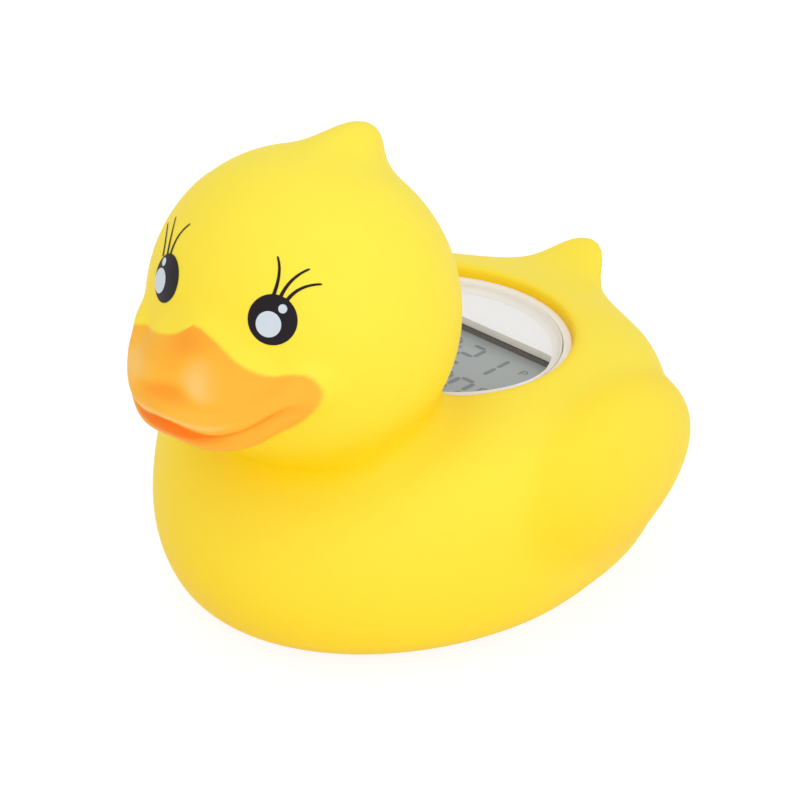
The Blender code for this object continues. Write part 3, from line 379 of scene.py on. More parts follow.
def vinylLook():
    made, nodes, links, shader = newMaterial("softVinyl")
    # painted light and shade: this attribute mixes the shaded yellow towards the lit yellow
    paintedLight = nodes.new("ShaderNodeAttribute")
    paintedLight.attribute_name = "paintedLight"
    body = nodes.new("ShaderNodeMix")
    body.data_type = "RGBA"
    body.inputs["A"].default_value = vinylColours["deep"]
    body.inputs["B"].default_value = vinylColours["litYellow"]
    links.new(paintedLight.outputs["Fac"], body.inputs["Factor"])
    paint = nodes.new("ShaderNodeAttribute")
    paint.attribute_name = "paint"
    # painted highlight and shade on the bill's orange
    depth = nodes.new("ShaderNodeAttribute")
    depth.attribute_name = "billShading"
    orange = nodes.new("ShaderNodeValToRGB")
    for place, colour in vinylColours["bill"][1:-1]:
        orange.color_ramp.elements.new(place)
    for element, (place, colour) in zip(orange.color_ramp.elements, vinylColours["bill"]):
        element.position = place
        element.color = colour
    links.new(depth.outputs["Fac"], orange.inputs["Fac"])
    whole = nodes.new("ShaderNodeMix")
    whole.data_type = "RGBA"
    links.new(paint.outputs["Fac"], whole.inputs["Factor"])
    links.new(body.outputs["Result"], whole.inputs["A"])
    links.new(orange.outputs["Color"], whole.inputs["B"])
    links.new(whole.outputs["Result"], shader.inputs["Base Color"])
    grain = objectNoise(nodes, links, 1500.0, 2.0)
    shader.inputs["Roughness"].default_value = 0.5
    shader.inputs["Specular IOR Level"].default_value = 0.14
    shader.inputs["Subsurface Weight"].default_value = 0.15
    shader.inputs["Subsurface Radius"].default_value = (1.0, 0.5, 0.1)
    shader.inputs["Subsurface Scale"].default_value = 2.0 * mm
    addBump(nodes, links, shader, grain.outputs["Fac"], 0.05, 0.0002)
    return made


vinyl = vinylLook()
casePlastic = plasticLook("casePlastic", linear(246, 243, 238), 0.32)
platePlastic = plasticLook("platePlastic", linear(251, 252, 255), 0.45)
eyeInk = plasticLook("eyeInk", linear(36, 31, 36), 0.4, specular=0.1, bump=0.02)
glintInk = plasticLook("glintInk", linear(208, 217, 226), 0.4, specular=0.3, bump=0.02)
# dark grey holder plastic, partly its own colour and partly painted shade for the shadowed inner wall of the
# window; the chips share it
holderGreyAndShade = plasticLook("holderGreyAndShade", linear(96, 88, 84), 0.6)
boardMask = plasticLook("boardMask", (0.03, 0.16, 0.07, 1), 0.4)
blackResin = plasticLook("blackResin", (0.015, 0.014, 0.016, 1), 0.35)
softRubber = plasticLook("softRubber", (0.10, 0.10, 0.11, 1), 0.7)
steelLook = plasticLook("steelLook", (0.62, 0.62, 0.64, 1), 0.25, metallic=1.0, mottle=0.05)
brassLook = plasticLook("brassLook", (0.72, 0.56, 0.26, 1), 0.3, metallic=1.0, mottle=0.05)
segmentInk = plasticLook("segmentInk", linear(118, 126, 136), 0.25)


def glassLook():
    made, nodes, links, shader = newMaterial("displayGlass")
    noise = objectNoise(nodes, links, 120.0, 1.0)
    ramp = nodes.new("ShaderNodeMapRange")
    ramp.inputs["To Min"].default_value = 0.16
    ramp.inputs["To Max"].default_value = 0.2
    links.new(noise.outputs["Fac"], ramp.inputs["Value"])
    links.new(ramp.outputs["Result"], shader.inputs["Roughness"])
    shader.inputs["Base Color"].default_value = linear(163, 171, 173)
    return made


def clearLook():
    made, nodes, links, shader = newMaterial("clearCover")
    nodes.remove(shader)
    output = nodes["Material Output"]
    see = nodes.new("ShaderNodeBsdfTransparent")
    shine = nodes.new("ShaderNodeBsdfGlossy")
    shine.inputs["Roughness"].default_value = 0.05
    fresnel = nodes.new("ShaderNodeFresnel")
    fresnel.inputs["IOR"].default_value = 1.3
    side = nodes.new("ShaderNodeNewGeometry")
    front = nodes.new("ShaderNodeMath")
    front.operation = "SUBTRACT"
    front.inputs[0].default_value = 1.0
    links.new(side.outputs["Backfacing"], front.inputs[1])
    shineOnce = nodes.new("ShaderNodeMath")
    shineOnce.operation = "MULTIPLY"
    links.new(fresnel.outputs["Fac"], shineOnce.inputs[0])
    links.new(front.outputs["Value"], shineOnce.inputs[1])
    both = nodes.new("ShaderNodeMixShader")
    links.new(shineOnce.outputs["Value"], both.inputs["Fac"])
    links.new(see.outputs["BSDF"], both.inputs[1])
    links.new(shine.outputs["BSDF"], both.inputs[2])
    links.new(both.outputs["Shader"], output.inputs["Surface"])
    return made


displayGlass = glassLook()
clearCover = clearLook()
print("materials ready")


# the duck's skin
skinMesh = {"voxel": 0.8 * mm, "liningVoxel": 2.2 * mm, "swell": 0.7 * mm}
billZone = {"low": scaled(-21, -62, 38), "high": scaled(21, -38, 64), "splits": 2}


def roughLumps(shrink):
    lumps = [(duck["bodyMiddle"], duck["bodyHalf"], 0), (duck["breastMiddle"], duck["breastHalf"], 0),
             (duck["tailMiddle"], (duck["tailHalf"][0], duck["tailHalf"][1], 3 * mm), duck["tailTilt"]),
             (duck["headMiddle"], duck["headHalf"], 0),
             (duck["crestMiddle"], duck["crestHalf"], duck["crestTilt"]),
             ((0, bill["back"], bill["height"]), (bill["width"], bill["reach"], bill["reach"] / 3), 0)]
    for side in (-1, 1):
        middle = (side * duck["wingMiddle"][0], duck["wingMiddle"][1], duck["wingMiddle"][2])
        lumps.append((middle, duck["wingHalf"], duck["wingTilt"]))
    shape = bmesh.new()
    for middle, half, tilt in lumps:
        radii = [value - shrink for value in half]
        if shrink and min(radii) < 2 * mm:
            continue
        place = (Matrix.Translation(middle) @ Matrix.Rotation(math.radians(tilt), 4, "X")
                 @ Matrix.Diagonal((*radii, 1)))
        bmesh.ops.create_uvsphere(shape, u_segments=48, v_segments=32, radius=1, matrix=place)
    return meshFrom(shape, "lumps")


def roomMesh(depth):
    top = duck["recessMiddle"][2] + 0.8 * duck["recessHalf"][2]
    radius = duck["recessHalf"][0]
    return coneMesh(radius + depth, duck["recessFloor"] - depth, top + depth, 0.6 * radius + depth,
                    place=module["place"])


def closedSkin(shape, depth, voxel, pockets):
    mesh = throughModifier(roughLumps(depth), "REMESH", mode="VOXEL", voxel_size=1.5 * voxel)
    mesh = cutBy(mesh, roomMesh(depth))
    for pocket in pockets:
        mesh = cutBy(mesh, pocket)
    for size in (1.5 * voxel, voxel, voxel):
        mesh = throughModifier(mesh, "REMESH", mode="VOXEL", voxel_size=size)
        pullMesh(mesh, shape, depth - skinMesh["swell"], 2, 4)
    pullMesh(mesh, shape, depth, 3, 3)
    return mesh


def pocketMeshes():
    back = coneMesh(module["backHole"], module["backDepth"], duck["recessFloor"] + 1.2 * mm, None, 96,
                    module["place"])
    belly = coneMesh(module["bellyHole"], -4 * mm, module["bellyDepth"], None, 96, module["place"])
    return [back, belly]


def inBox(point, low, high):
    return all(least < value < most for least, value, most in zip(low, point, high))


# the bill is crisp, so its part of the skin is split finer and laid onto the shape again
def refineBill(mesh):
    low, high = np.array(billZone["low"]), np.array(billZone["high"])
    for _ in range(billZone["splits"]):
        shape = bmesh.new()
        shape.from_mesh(mesh)
        edges = [edge for edge in shape.edges if all(inBox(vert.co, low, high) for vert in edge.verts)]
        bmesh.ops.subdivide_edges(shape, edges=edges, cuts=1, use_grid_fill=True, use_only_quads=False)
        inside = [vert for vert in shape.verts
                  if low[2] < vert.co.z < high[2] and low[1] < vert.co.y < high[1]]
        smoothed(shape, inside)
        shape.to_mesh(mesh)
        shape.free()
        points = readPoints(mesh).astype(float)
        near = (points > low).all(1) & (points < high).all(1)
        points[near] = pulledTo(skinShape, points[near], 0.0, 5)
        writePoints(mesh, points)
    mesh.update()


def pressFlat(mesh):
    points = readPoints(mesh)
    outside = fromModuleAxis(points) > module["bellyHole"] + 0.5 * mm
    points[(points[:, 2] < duck["soleEase"]) & outside, 2] = 0
    writePoints(mesh, points)


def bestSkin():
    mesh = closedSkin(skinShape, 0.0, skinMesh["voxel"], pocketMeshes())
    refineBill(mesh)
    print("outer skin", len(mesh.polygons), "faces")
    pressFlat(mesh)
    lining = closedSkin(hollowShape, duck["wall"], skinMesh["liningVoxel"], [])
    print("lining", len(lining.polygons), "faces")
    lip = coneMesh(module["ringRadius"] + module["lipWidth"], module["shoulderTop"] + module["lipGap"],
                   module["lipTop"], None, 96, module["place"])
    return cutBy(mesh, cutBy(lining, lip))


# the sprayed outline of the bill, seen from the front: (across, up) in millimetres, round from its top point
sprayOutline = [
    (-1.3, 61.0), (0.4, 60.95), (2.2, 60.3), (3.6, 59.7), (5.4, 58.7), (7.0, 57.9), (8.7, 57.3),
    (10.2, 56.8), (11.5, 56.35), (12.6, 56.25), (13.8, 56.55), (15.1, 56.85), (16.3, 56.85),
    (17.3, 56.4), (18.1, 55.45), (18.5, 54.4), (18.5, 53.4), (18.0, 52.0), (16.8, 50.3), (15.4, 48.65),
    (13.7, 47.05), (12.0, 45.75), (9.9, 44.5), (7.0, 43.7), (3.5, 43.1), (0.0, 42.8), (-3.5, 42.8),
    (-7.0, 43.0), (-9.9, 43.7), (-12.0, 45.2), (-13.7, 46.75), (-15.4, 48.5), (-16.8, 50.0),
    (-17.6, 51.4), (-17.8, 52.6), (-17.2, 53.9), (-16.2, 54.8), (-15.0, 55.5), (-13.6, 55.9),
    (-12.2, 56.15), (-9.6, 57.0), (-7.7, 57.5), (-5.5, 58.2), (-3.8, 59.05), (-2.6, 59.95),
]


def outlineDistance(x, z):
    corners = np.array(sprayOutline) * mm
    away = np.full(len(x), 1.0)
    inside = np.zeros(len(x), dtype=bool)
    loop = np.vstack([corners, corners[:1]])
    for (ax, az), (bx, bz) in zip(loop[:-1], loop[1:]):
        ex, ez = bx - ax, bz - az
        crosses = ((az > z) != (bz > z)) & (x < ax + ex * (z - az) / (ez if ez else 1e-12))
        inside ^= crosses
    for (ax, az), (bx, bz) in zip(corners[:-1], corners[1:]):
        ex, ez = bx - ax, bz - az
        share = np.clip(((x - ax) * ex + (z - az) * ez) / (ex * ex + ez * ez), 0, 1)
        away = np.minimum(away, np.hypot(x - ax - share * ex, z - az - share * ez))
    return np.where(inside, -away, away)


def smoothStep(low, high, value):
    share = np.clip((value - low) / (high - low), 0, 1)
    return share * share * (3 - 2 * share)


def bump(value, middle, width):
    return np.exp(-((value - middle) / width) ** 2)


# the bill's painted highlight and shade: painted highlights on the lobes and just below the lip, painted
# shade in the saddle, in the creases, in the groove above the lip and on the lower bill
def billLightAndShade(points):
    upper, lower = billShapes(points)
    across, z = np.abs(points[:, 0]), points[:, 2]
    over = z - np.interp(across, upperLip[:, 0], upperLip[:, 2])
    onLower = smoothStep(-0.25 * mm, 0.25 * mm, upper - lower)
    crease = bump(upper, lower, 0.28 * mm) * (1 - smoothStep(13.2 * mm, 15.9 * mm, across))
    deep = 0.47 + 0.27 * bump(points[:, 0], -1.2 * mm, 3.6 * mm) * bump(z, 58.2 * mm, 2.8 * mm)
    deep -= 0.38 * bump(points[:, 0] + 0.6 * (z - 54 * mm), 3.2 * mm, 3.0 * mm) * bump(z, 54.4 * mm, 3.2 * mm)
    deep -= 0.30 * bump(points[:, 0], -10.2 * mm, 4.5 * mm) * bump(z, 52.9 * mm, 1.7 * mm)
    deep += 0.26 * bump(over, 2.2 * mm, 0.9 * mm) * (1 - smoothStep(3 * mm, 10 * mm, across)) * (1 - onLower)
    deep -= 0.3 * bump(over, -0.6 * mm, 0.5 * mm) * (1 - smoothStep(6 * mm, 12 * mm, across)) * (1 - onLower)
    deep += onLower * (0.62 * (1 - smoothStep(3 * mm, 11 * mm, across)) * bump(z, 47.6 * mm, 1.3 * mm) + 0.06)
    return np.clip(deep + 0.38 * crease, 0, 1)


# painted shade in the folds: round the neck, along the wing and inside the rim of the hole
def foldShade(points):
    body, face = bodyShape(points), headShape(points)
    neck = bump(body, face, 7 * mm)
    wing = bump(wingShape(points), trunkShape(points), 2.0 * mm)
    rim = bump(fromModuleAxis(points), module["backHole"], 1.6 * mm) * bump(points[:, 2], 36.5 * mm, 3.5 * mm)
    return np.maximum(np.maximum(neck, 0.6 * wing), 0.9 * rim)


def paintSkin(mesh):
    points = readPoints(mesh).astype(float)
    normals = readPoints(mesh, "normal").astype(float)
    away = outlineDistance(points[:, 0], points[:, 2])
    paint = (1 - smoothStep(-0.3 * mm, 0.35 * mm, away)) * (points[:, 1] < -35 * mm)
    deep = np.zeros(len(points))
    sprayed = paint > 0
    deep[sprayed] = billLightAndShade(points[sprayed])
    # painted light and shade: lighter where the skin faces up or towards +x and higher up, darker in the
    # folds
    paintedLight = 0.42 + 0.35 * normals[:, 2] + 0.15 * normals[:, 0]
    paintedLight += 0.15 * smoothStep(10 * mm, 75 * mm, points[:, 2])
    paintedLight -= 0.42 * foldShade(points)
    for name, values in (("paint", paint), ("billShading", deep), ("paintedLight", np.clip(paintedLight, 0, 1))):
        field = mesh.attributes.new(name, "FLOAT", "POINT")
        field.data.foreach_set("value", values.astype(np.float32))


duckMesh = bestSkin()
paintSkin(duckMesh)
addPiece("duckSkin", duckMesh, vinyl, "duck_shell", sharp=0)
print("duck's skin made,", len(duckMesh.polygons), "faces")


# printed eyes
eye = {
    "side": 10.45 * mm, "height": 64.15 * mm, "radius": 3.75 * mm, "lift": 0.05 * mm, "glintLift": 0.1 * mm,
    "bigGlint": 1.93 * mm, "smallGlint": 0.66 * mm, "lashStart": 0.56 * mm, "lashEnd": 0.3 * mm,
    "glints": {"left": (scaled(-0.50, -0.70), scaled(1.42, 1.80)),
               "right": (scaled(-1.4, -1.05), scaled(-2.0, 1.8))},
    "lashes": {
        "left": [(scaled(-0.17, 3.6), scaled(0.75, 7.1), scaled(-0.44, 9.13)),
                 (scaled(0.90, 3.5), scaled(1.95, 6.55), scaled(4.56, 7.86)),
                 (scaled(1.9, 3.1), scaled(3.4, 5.6), scaled(6.59, 5.86))],
        "right": [(scaled(1.1, 3.5), scaled(2.2, 6.5), scaled(0.46, 8.91)),
                  (scaled(2.1, 3.1), scaled(3.7, 5.9), scaled(6.25, 7.7)),
                  (scaled(3.3, 2.2), scaled(4.9, 4.9), scaled(8.39, 5.79))]},
}


def eyePlane(side):
    middle, half = duck["headMiddle"], duck["headHalf"]
    x, z = side * eye["side"], eye["height"] - middle[2]
    y = -half[1] * math.sqrt(1 - (x / half[0]) ** 2 - (z / half[2]) ** 2)
    out = Vector((x / half[0] ** 2, y / half[1] ** 2, z / half[2] ** 2)).normalized()
    up = (Vector((0, 0, 1)) - out * out.z).normalized()
    turn = Matrix((up.cross(out), up, out)).transposed().to_4x4()
    return Matrix.Translation(Vector((x, y, z)) + Vector(middle)) @ turn


# a flat print is dropped onto the skin along the eye's axis, then lifted by the ink's thickness
def ontoSkin(mesh, plane, lift):
    local = readPoints(mesh).astype(float)
    turn = np.array(plane.to_3x3())
    world = local @ turn.T + np.array(plane.translation)
    axis = turn[:, 2]
    for _ in range(12):
        here = skinShape(world)
        there = skinShape(world + axis * 0.05 * mm)
        rate = np.clip((there - here) / (0.05 * mm), 0.3, 2)
        world -= axis * (here / rate)[:, None]
    slope = slopeOf(skinShape, world, skinShape(world))
    world += slope / np.linalg.norm(slope, axis=1)[:, None] * lift
    writePoints(mesh, world)
    mesh.update()


def roundPrint(middle, radius, rings=10, steps=72):
    shape = bmesh.new()
    x, y = middle
    centre = shape.verts.new((x, y, 0))
    last = None
    for ring in range(1, rings + 1):
        reach = radius * ring / rings
        loop = [shape.verts.new((x + reach * math.cos(2 * math.pi * i / steps),
                                 y + reach * math.sin(2 * math.pi * i / steps), 0)) for i in range(steps)]
        for i in range(steps):
            j = (i + 1) % steps
            if last:
                shape.faces.new((last[i], loop[i], loop[j], last[j]))
            else:
                shape.faces.new((centre, loop[i], loop[j]))
        last = loop
    return meshFrom(shape, "round")


def lashPrint(root, bend, tip, steps=24):
    shape = bmesh.new()
    root, bend, tip = Vector(root), Vector(bend), Vector(tip)
    rows = []
    for i in range(steps + 1):
        t = i / steps
        middle = root * (1 - t) ** 2 + bend * (2 * t * (1 - t)) + tip * t ** 2
        along = ((bend - root) * (1 - t) + (tip - bend) * t).normalized()
        width = eye["lashStart"] * (1 - t) + eye["lashEnd"] * t
        if i == steps:
            width *= 0.4
        aside = Vector((-along.y, along.x)) * width / 2
        rows.append([shape.verts.new((*(middle + aside * k), 0)) for k in (1, 0, -1)])
    for below, above in zip(rows[:-1], rows[1:]):
        for k in (0, 1):
            shape.faces.new((below[k], below[k + 1], above[k + 1], above[k]))
    bmesh.ops.recalc_face_normals(shape, faces=shape.faces)
    return meshFrom(shape, "lash")


def facingOut(mesh, plane):
    if mesh.polygons[0].normal.dot(plane.to_3x3() @ Vector((0, 0, 1))) < 0:
        mesh.flip_normals()


for label, side in (("left", 1), ("right", -1)):
    plane = eyePlane(side)
    prints = [(f"eyePrint_{label}", roundPrint((0, 0), eye["radius"]), eye["lift"], eyeInk, "eye_ink",
               f"eye_print_{label}")]
    glintSizes = (eye["bigGlint"], eye["smallGlint"])
    for size, spot, radius in zip(("large", "small"), eye["glints"][label], glintSizes):
        prints.append((f"eyeGlint_{size}_{label}", roundPrint(spot, radius, 5, 48), eye["glintLift"],
                       glintInk, "glint_ink", f"eye_glint_{size}_{label}"))
    for number, stroke in enumerate(eye["lashes"][label], 1):
        points = [(x * side, y) for x, y in stroke]
        prints.append((f"eyelash_{label}_print_{number}", lashPrint(*points), eye["lift"], eyeInk, "eye_ink",
                       f"eyelash_{label}_{number}"))
    for name, mesh, lift, finish, slotName, node in prints:
        ontoSkin(mesh, plane, lift)
        facingOut(mesh, plane)
        addPiece(name, mesh, finish, node, sharp=0)
print("eyes printed")


# the round module
def easedLoop(points, radius, steps=4):
    eased = []
    count = len(points)
    for i, point in enumerate(points):
        here, before, after = Vector(point), Vector(points[i - 1]), Vector(points[(i + 1) % count])
        back, ahead = before - here, after - here
        reach = min(radius, back.length * 0.45, ahead.length * 0.45)
        if reach < 0.01 * mm or point[0] == 0:
            eased.append(tuple(here))
            continue
        start, end = here + back.normalized() * reach, here + ahead.normalized() * reach
        for k in range(steps + 1):
            t = k / steps
            eased.append(tuple(start * (1 - t) ** 2 + here * 2 * t * (1 - t) + end * t ** 2))
    return eased


def turnedMesh(profile, steps=128):
    shape = bmesh.new()
    verts = [shape.verts.new((radius, 0, height)) for radius, height in profile]
    edges = []
    for i in range(len(verts)):
        j = (i + 1) % len(verts)
        if profile[i][0] > 0 or profile[j][0] > 0:
            edges.append(shape.edges.new((verts[i], verts[j])))
    bmesh.ops.spin(shape, geom=verts + edges, cent=(0, 0, 0), axis=(0, 0, 1), angle=2 * math.pi, steps=steps,
                   use_merge=True)
    bmesh.ops.remove_doubles(shape, verts=shape.verts, dist=0.002 * mm)
    bmesh.ops.recalc_face_normals(shape, faces=shape.faces)
    return meshFrom(shape, "turned")


def roundedOutline(halfX, halfY, corner, steps=8):
    points = []
    for cx, cy, start in ((1, 1, 0), (-1, 1, 90), (-1, -1, 180), (1, -1, 270)):
        for k in range(steps + 1):
            angle = math.radians(start + 90 * k / steps)
            points.append((cx * (halfX - corner) + corner * math.cos(angle),
                           cy * (halfY - corner) + corner * math.sin(angle)))
    return points


def prismMesh(outline, low, high):
    shape = bmesh.new()
    bottom = [shape.verts.new((x, y, low)) for x, y in outline]
    top = [shape.verts.new((x, y, high)) for x, y in outline]
    count = len(outline)
    shape.faces.new(bottom[::-1])
    shape.faces.new(top)
    for i in range(count):
        j = (i + 1) % count
        shape.faces.new((bottom[i], bottom[j], top[j], top[i]))
    bmesh.ops.recalc_face_normals(shape, faces=shape.faces)
    return meshFrom(shape, "prism")


def makeRing():
    m = module
    ledge = m["plateBottom"] + 0.3 * mm
    bore = m["lensRingRadius"] + 0.12 * mm
    top = m["ringTop"]
    corners = [(m["ringRadius"], top), (m["ringRadius"], m["shoulderTop"]),
               (m["caseRadius"], m["shoulderTop"]), (m["caseRadius"], m["caseJoint"]),
               (m["caseBore"], m["caseJoint"]), (m["caseBore"], ledge), (bore, ledge), (bore, top)]
    profile = easedLoop(corners, 0.45 * mm, 5)
    addPiece("moduleRing", turnedMesh(profile), casePlastic, "upper_housing", moduleMatrix,
             50)


def makeLensRing():
    m = module
    top, low = m["ringTop"] - 0.08 * mm, m["plateTop"] + 0.01 * mm
    outer, bore = m["lensRingRadius"], m["lensRingBore"]
    profile = [(outer - 0.15 * mm, top), (outer, top - 0.15 * mm), (outer, low), (bore, low)]
    for i in range(13):
        turn = math.pi / 2 * i / 12
        profile.append((bore + (outer - bore - 0.3 * mm) * math.sin(turn),
                        low + 0.02 * mm + (top - low - 0.15 * mm) * (1 - math.cos(turn))))
    profile.append((outer - 0.26 * mm, top - 0.03 * mm))
    addPiece("innerRing", turnedMesh(profile), casePlastic, "lens_ring", moduleMatrix, 50)


# straight side edges, round ends and an arch towards the head, all with eased corners
def windowOutline():
    m = module
    limits = [((0, 0), m["windowRadius"]), ((0, m["archMiddle"]), m["archRadius"])]
    points = []
    for i in range(180):
        angle = 2 * math.pi * i / 180
        away = np.array([math.cos(angle), math.sin(angle)])
        reach = m["windowSide"] / max(abs(away[1]), 1e-6)
        for middle, radius in limits:
            middle = np.array(middle)
            along = away @ middle
            crossing = along + math.sqrt(along * along - middle @ middle + radius * radius)
            blend = m["windowCorner"]
            overlap = max(blend - abs(crossing - reach), 0) / blend
            reach = min(crossing, reach) - overlap * overlap * blend / 4
        points.append(tuple(away * reach))
    return points


def makePlate():
    m = module
    bottom, top = m["plateBottom"], m["plateTop"]
    reach = m["lensRingRadius"] - 0.02 * mm
    disc = turnedMesh([(0, top), (reach, top), (reach, bottom), (0, bottom)])
    plate = cutBy(disc, prismMesh(windowOutline(), bottom - 1 * mm, top + 1 * mm))
    bevel = throughModifier(plate, "BEVEL", width=0.18 * mm, segments=3, limit_method="ANGLE",
                            angle_limit=math.radians(50))
    addPiece("facePlate", bevel, platePlastic, "face_plate", moduleMatrix, 30)


def makeHolder():
    m = module
    halfX, halfY = m["holderHalf"]
    block = prismMesh(roundedOutline(halfX, halfY, 0.5 * mm, 4), m["boardTop"] + 0.3 * mm, m["holderTop"])
    block = cutBy(block, coneMesh(m["caseBore"] - 0.4 * mm, 20 * mm, 40 * mm, None, 96), "INTERSECT")
    sight = roundedOutline(m["sightHalf"][0], m["sightHalf"][1], 1.2 * mm, 6)
    block = cutBy(block, prismMesh(sight, 20 * mm, 40 * mm))
    glassX, glassY = m["sightHalf"][0] + 0.3 * mm, m["sightHalf"][1] + 0.3 * mm
    pocket = roundedOutline(glassX + 0.3 * mm, glassY + 0.3 * mm, 0.3 * mm, 3)
    block = cutBy(block, prismMesh(pocket, 20 * mm, m["glassTop"] + 0.02 * mm))
    addPiece("displayHolder", block, holderGreyAndShade, "lcd_holder", moduleMatrix, 30)


def makeGlass():
    m = module
    halfX, halfY = m["sightHalf"][0] + 0.3 * mm, m["sightHalf"][1] + 0.3 * mm
    block = prismMesh(roundedOutline(halfX, halfY, 0.3 * mm, 3), m["glassBottom"], m["glassTop"])
    addPiece("displayPanel", block, displayGlass, "lcd_panel", moduleMatrix, 30)


# seven strokes: top, top right, bottom right, bottom, bottom left, top left, middle; only the signs shown
strokesOf = {"0": "111111.", "1": ".11....", "2": "11.11.1", "3": "1111..1", "7": "111...."}


def strokeShape(shape, start, end, width, height):
    start, end = Vector(start), Vector(end)
    along = (end - start).normalized()
    aside = Vector((-along.y, along.x)) * width / 2
    corners = [start, start + along * width / 2 + aside, end - along * width / 2 + aside, end,
               end - along * width / 2 - aside, start + along * width / 2 - aside]
    face = shape.faces.new([shape.verts.new((*corner, height)) for corner in corners])
    if face.normal.z < 0:
        face.normal_flip()


def digitShape(shape, sign, x, y, wide, tall, width, height):
    places = {"tl": (x, y + tall), "tr": (x + wide, y + tall), "ml": (x, y + tall / 2),
              "mr": (x + wide, y + tall / 2), "bl": (x, y), "br": (x + wide, y)}
    runs = [("tl", "tr"), ("tr", "mr"), ("mr", "br"), ("bl", "br"), ("ml", "bl"), ("tl", "ml"), ("ml", "mr")]
    for (a, b), on in zip(runs, strokesOf[sign]):
        if on != ".":
            start, end = Vector(places[a]), Vector(places[b])
            inset = (end - start).normalized() * width * 0.18
            strokeShape(shape, start + inset, end - inset, width, height)


displayText = {
    "clock": {"signs": "12:21", "right": 10.15 * mm, "low": 2.0 * mm, "wide": 2.9 * mm, "tall": 6.9 * mm,
              "pitch": 5.3 * mm, "stroke": 0.8 * mm},
    "water": {"signs": "37.0", "right": 11.2 * mm, "low": -8.0 * mm, "wide": 3.1 * mm, "tall": 6.9 * mm,
              "pitch": 4.7 * mm, "stroke": 0.9 * mm},
}


def dotShape(shape, x, y, radius, height):
    ring = [shape.verts.new((x + radius * math.cos(i * math.pi / 6),
                             y + radius * math.sin(i * math.pi / 6), height)) for i in range(12)]
    face = shape.faces.new(ring)
    if face.normal.z < 0:
        face.normal_flip()


def makeDigits():
    height = module["glassTop"] + 0.03 * mm
    shape = bmesh.new()
    for line in displayText.values():
        x = line["right"] - line["wide"]
        for sign in reversed(line["signs"]):
            if sign in ":.":
                dotX = x + line["wide"] + (line["pitch"] - line["wide"]) * 0.5
                for dotY in ((0.32, 0.68) if sign == ":" else (0.02,)):
                    dotShape(shape, dotX, line["low"] + dotY * line["tall"], 0.36 * mm, height)
                continue
            digitShape(shape, sign, x, line["low"], line["wide"], line["tall"], line["stroke"], height)
            x -= line["pitch"]
    # the C for Celsius and the mark of the second half of the day
    for a, b in (((13.2, -1.4), (15.0, -1.4)), ((13.2, -1.4), (13.2, -4.2)), ((13.2, -4.2), (15.0, -4.2))):
        strokeShape(shape, scaled(*a), scaled(*b), 0.45 * mm, height)
    for a, b in (((14.0, 6.3), (14.0, 8.0)), ((14.0, 8.0), (15.0, 8.0)), ((15.0, 8.0), (15.0, 7.2)),
                 ((14.0, 7.2), (15.0, 7.2))):
        strokeShape(shape, scaled(*a), scaled(*b), 0.26 * mm, height)
    bmesh.ops.recalc_face_normals(shape, faces=shape.faces)
    mesh = meshFrom(shape, "digits")
    if mesh.polygons[0].normal.z < 0:
        mesh.flip_normals()
    addPiece("displayDigits", mesh, segmentInk, None, moduleMatrix, 0)


def makeLens():
    m = module
    reach = m["lensRingRadius"] - 0.45 * mm
    profile = [(0, m["ringTop"] - 0.3 * mm), (reach, m["ringTop"] - 0.3 * mm),
               (reach, m["ringTop"] - 0.45 * mm), (0, m["ringTop"] - 0.45 * mm)]
    addPiece("clearLens", turnedMesh(profile), clearCover, "display_lens", moduleMatrix, 30)


for make in (makeRing, makeLensRing, makePlate, makeHolder, makeGlass, makeDigits, makeLens):
    make()
print("module made")

finishes = {
    casePlastic: ["lower_housing", "battery_door"],
    softRubber: ["elastomer_connector_front", "elastomer_connector_rear", "housing_seal", "door_seal",
                 "battery_lead_positive", "battery_lead_negative"],
    boardMask: ["circuit_board"],
    blackResin: ["controller_blob", "thermistor"],
    holderGreyAndShade: ["chip_part_1", "chip_part_2", "chip_part_3"],
    brassLook: ["battery_contact_positive", "battery_contact_negative"],
    steelLook: ["timing_crystal", "door_screw_1", "door_screw_2", "coin_cell", "probe_cap",
                "thermistor_lead_left", "thermistor_lead_right", "water_contact_left", "water_contact_right",
                "water_contact_lead_left", "water_contact_lead_right"],
}
for finish, names in finishes.items():
    for name in names:
        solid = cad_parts[name]
        solid.data.materials.clear()
        solid.data.materials.append(finish)
print("inner solids finished")


# floor, light and camera
studio = {"floor": 4.0, "worldStrength": 0.82, "backdrop": 1.0, "floorGlow": 0.84,
          "floorColour": (0.9, 0.9, 0.9, 1), "seenFloor": (0.27, 0.27, 0.28, 1),
          "lamps": {"key": (0.95, 0.7, (-0.1, -0.2, 0.95)), "fill": (1.15, 0.6, (0.52, -0.32, 0.16))}}
photoView = {"azimuth": 37.38, "elevation": 29.1, "roll": 1.48, "distance": 0.4234, "focalPixels": 2535.0,
             "target": (-0.00036, 0.0, 0.02772), "pixels": 800}


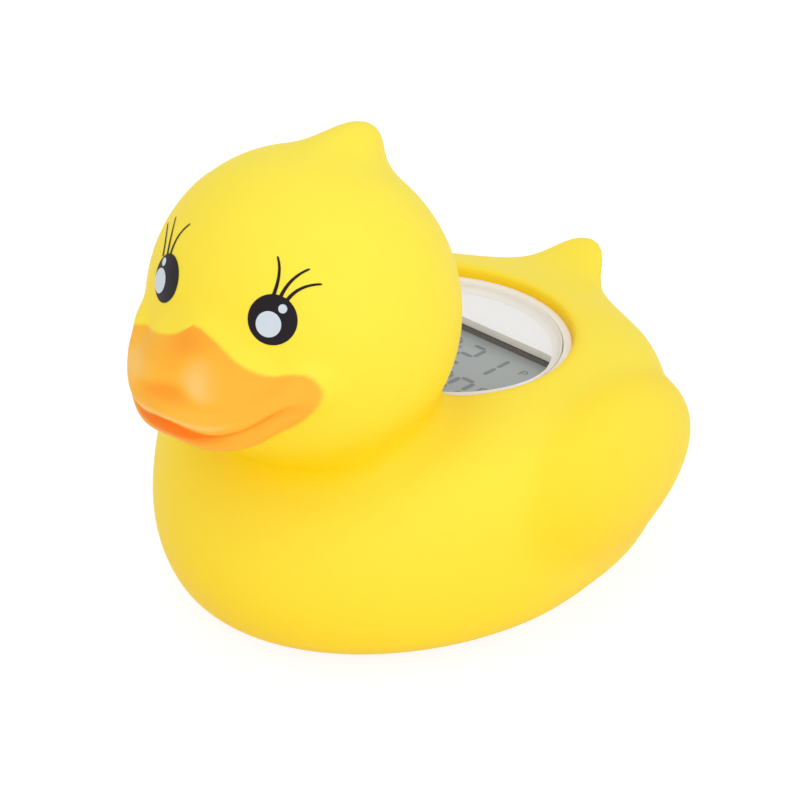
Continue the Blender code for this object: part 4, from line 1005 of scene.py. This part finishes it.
def makeFloor():
    mesh = coneMesh(studio["floor"] / 2, -0.01, -0.0002, None, 96)
    floor = bpy.data.objects.new("floor", mesh)
    bpy.context.scene.collection.objects.link(floor)
    made, nodes, links, shader = newMaterial("paleFloor")
    nodes.remove(shader)
    paths = nodes.new("ShaderNodeLightPath")
    diffuse = nodes.new("ShaderNodeBsdfDiffuse")
    diffuse.inputs["Color"].default_value = studio["floorColour"]
    seen = nodes.new("ShaderNodeBsdfDiffuse")
    seen.inputs["Color"].default_value = studio["seenFloor"]
    glow = nodes.new("ShaderNodeEmission")
    glow.inputs["Strength"].default_value = studio["floorGlow"]
    both = nodes.new("ShaderNodeAddShader")
    links.new(seen.outputs["BSDF"], both.inputs[0])
    links.new(glow.outputs["Emission"], both.inputs[1])
    pick = nodes.new("ShaderNodeMixShader")
    views = nodes.new("ShaderNodeMath")
    views.operation = "MAXIMUM"
    links.new(paths.outputs["Is Camera Ray"], views.inputs[0])
    links.new(paths.outputs["Is Glossy Ray"], views.inputs[1])
    links.new(views.outputs["Value"], pick.inputs["Fac"])
    links.new(diffuse.outputs["BSDF"], pick.inputs[1])
    links.new(both.outputs["Shader"], pick.inputs[2])
    links.new(pick.outputs["Shader"], nodes["Material Output"].inputs["Surface"])
    mesh.materials.append(made)


def makeLight():
    scene = bpy.context.scene
    world = bpy.data.worlds.new("paleRoom")
    scene.world = world
    world.use_nodes = True
    nodes, links = world.node_tree.nodes, world.node_tree.links
    room = nodes["Background"]
    room.inputs["Color"].default_value = (1, 1, 1, 1)
    room.inputs["Strength"].default_value = studio["worldStrength"]
    white = nodes.new("ShaderNodeBackground")
    white.inputs["Color"].default_value = (1, 1, 1, 1)
    white.inputs["Strength"].default_value = studio["backdrop"]
    paths = nodes.new("ShaderNodeLightPath")
    pick = nodes.new("ShaderNodeMixShader")
    links.new(paths.outputs["Is Camera Ray"], pick.inputs["Fac"])
    links.new(room.outputs["Background"], pick.inputs[1])
    links.new(white.outputs["Background"], pick.inputs[2])
    links.new(pick.outputs["Shader"], nodes["World Output"].inputs["Surface"])
    for name, (power, size, place) in studio["lamps"].items():
        lamp = bpy.data.lights.new(name, "AREA")
        lamp.shape = "DISK"
        lamp.size = size
        lamp.energy = power
        softbox = bpy.data.objects.new(name, lamp)
        scene.collection.objects.link(softbox)
        softbox.location = place
        aim = Vector(place) - Vector((0, 0, 0.04))
        softbox.rotation_euler = aim.to_track_quat("Z", "Y").to_euler()


def makeCamera():
    view = photoView
    azimuth, elevation, roll = (math.radians(view[name]) for name in ("azimuth", "elevation", "roll"))
    back = Vector((math.sin(azimuth) * math.cos(elevation), -math.cos(azimuth) * math.cos(elevation),
                   math.sin(elevation)))
    right = Vector((math.cos(azimuth), math.sin(azimuth), 0))
    up = back.cross(right)
    rolledRight = right * math.cos(roll) + up * math.sin(roll)
    rolledUp = up * math.cos(roll) - right * math.sin(roll)
    lens = bpy.data.cameras.new("camera")
    lens.sensor_width = 36.0
    lens.lens = view["focalPixels"] * lens.sensor_width / view["pixels"]
    lens.clip_start = 0.01
    lens.clip_end = 20.0
    camera = bpy.data.objects.new("camera", lens)
    bpy.context.scene.collection.objects.link(camera)
    turn = Matrix((rolledRight, rolledUp, back)).transposed()
    target = Vector(view["target"]) + Vector((0, duck["originShift"], 0))
    camera.matrix_world = Matrix.Translation(target + back * view["distance"]) @ turn.to_4x4()
    bpy.context.scene.camera = camera


makeFloor()
makeLight()
makeCamera()
bpy.context.scene.view_settings.view_transform = "Standard"
print("floor, light and camera set")
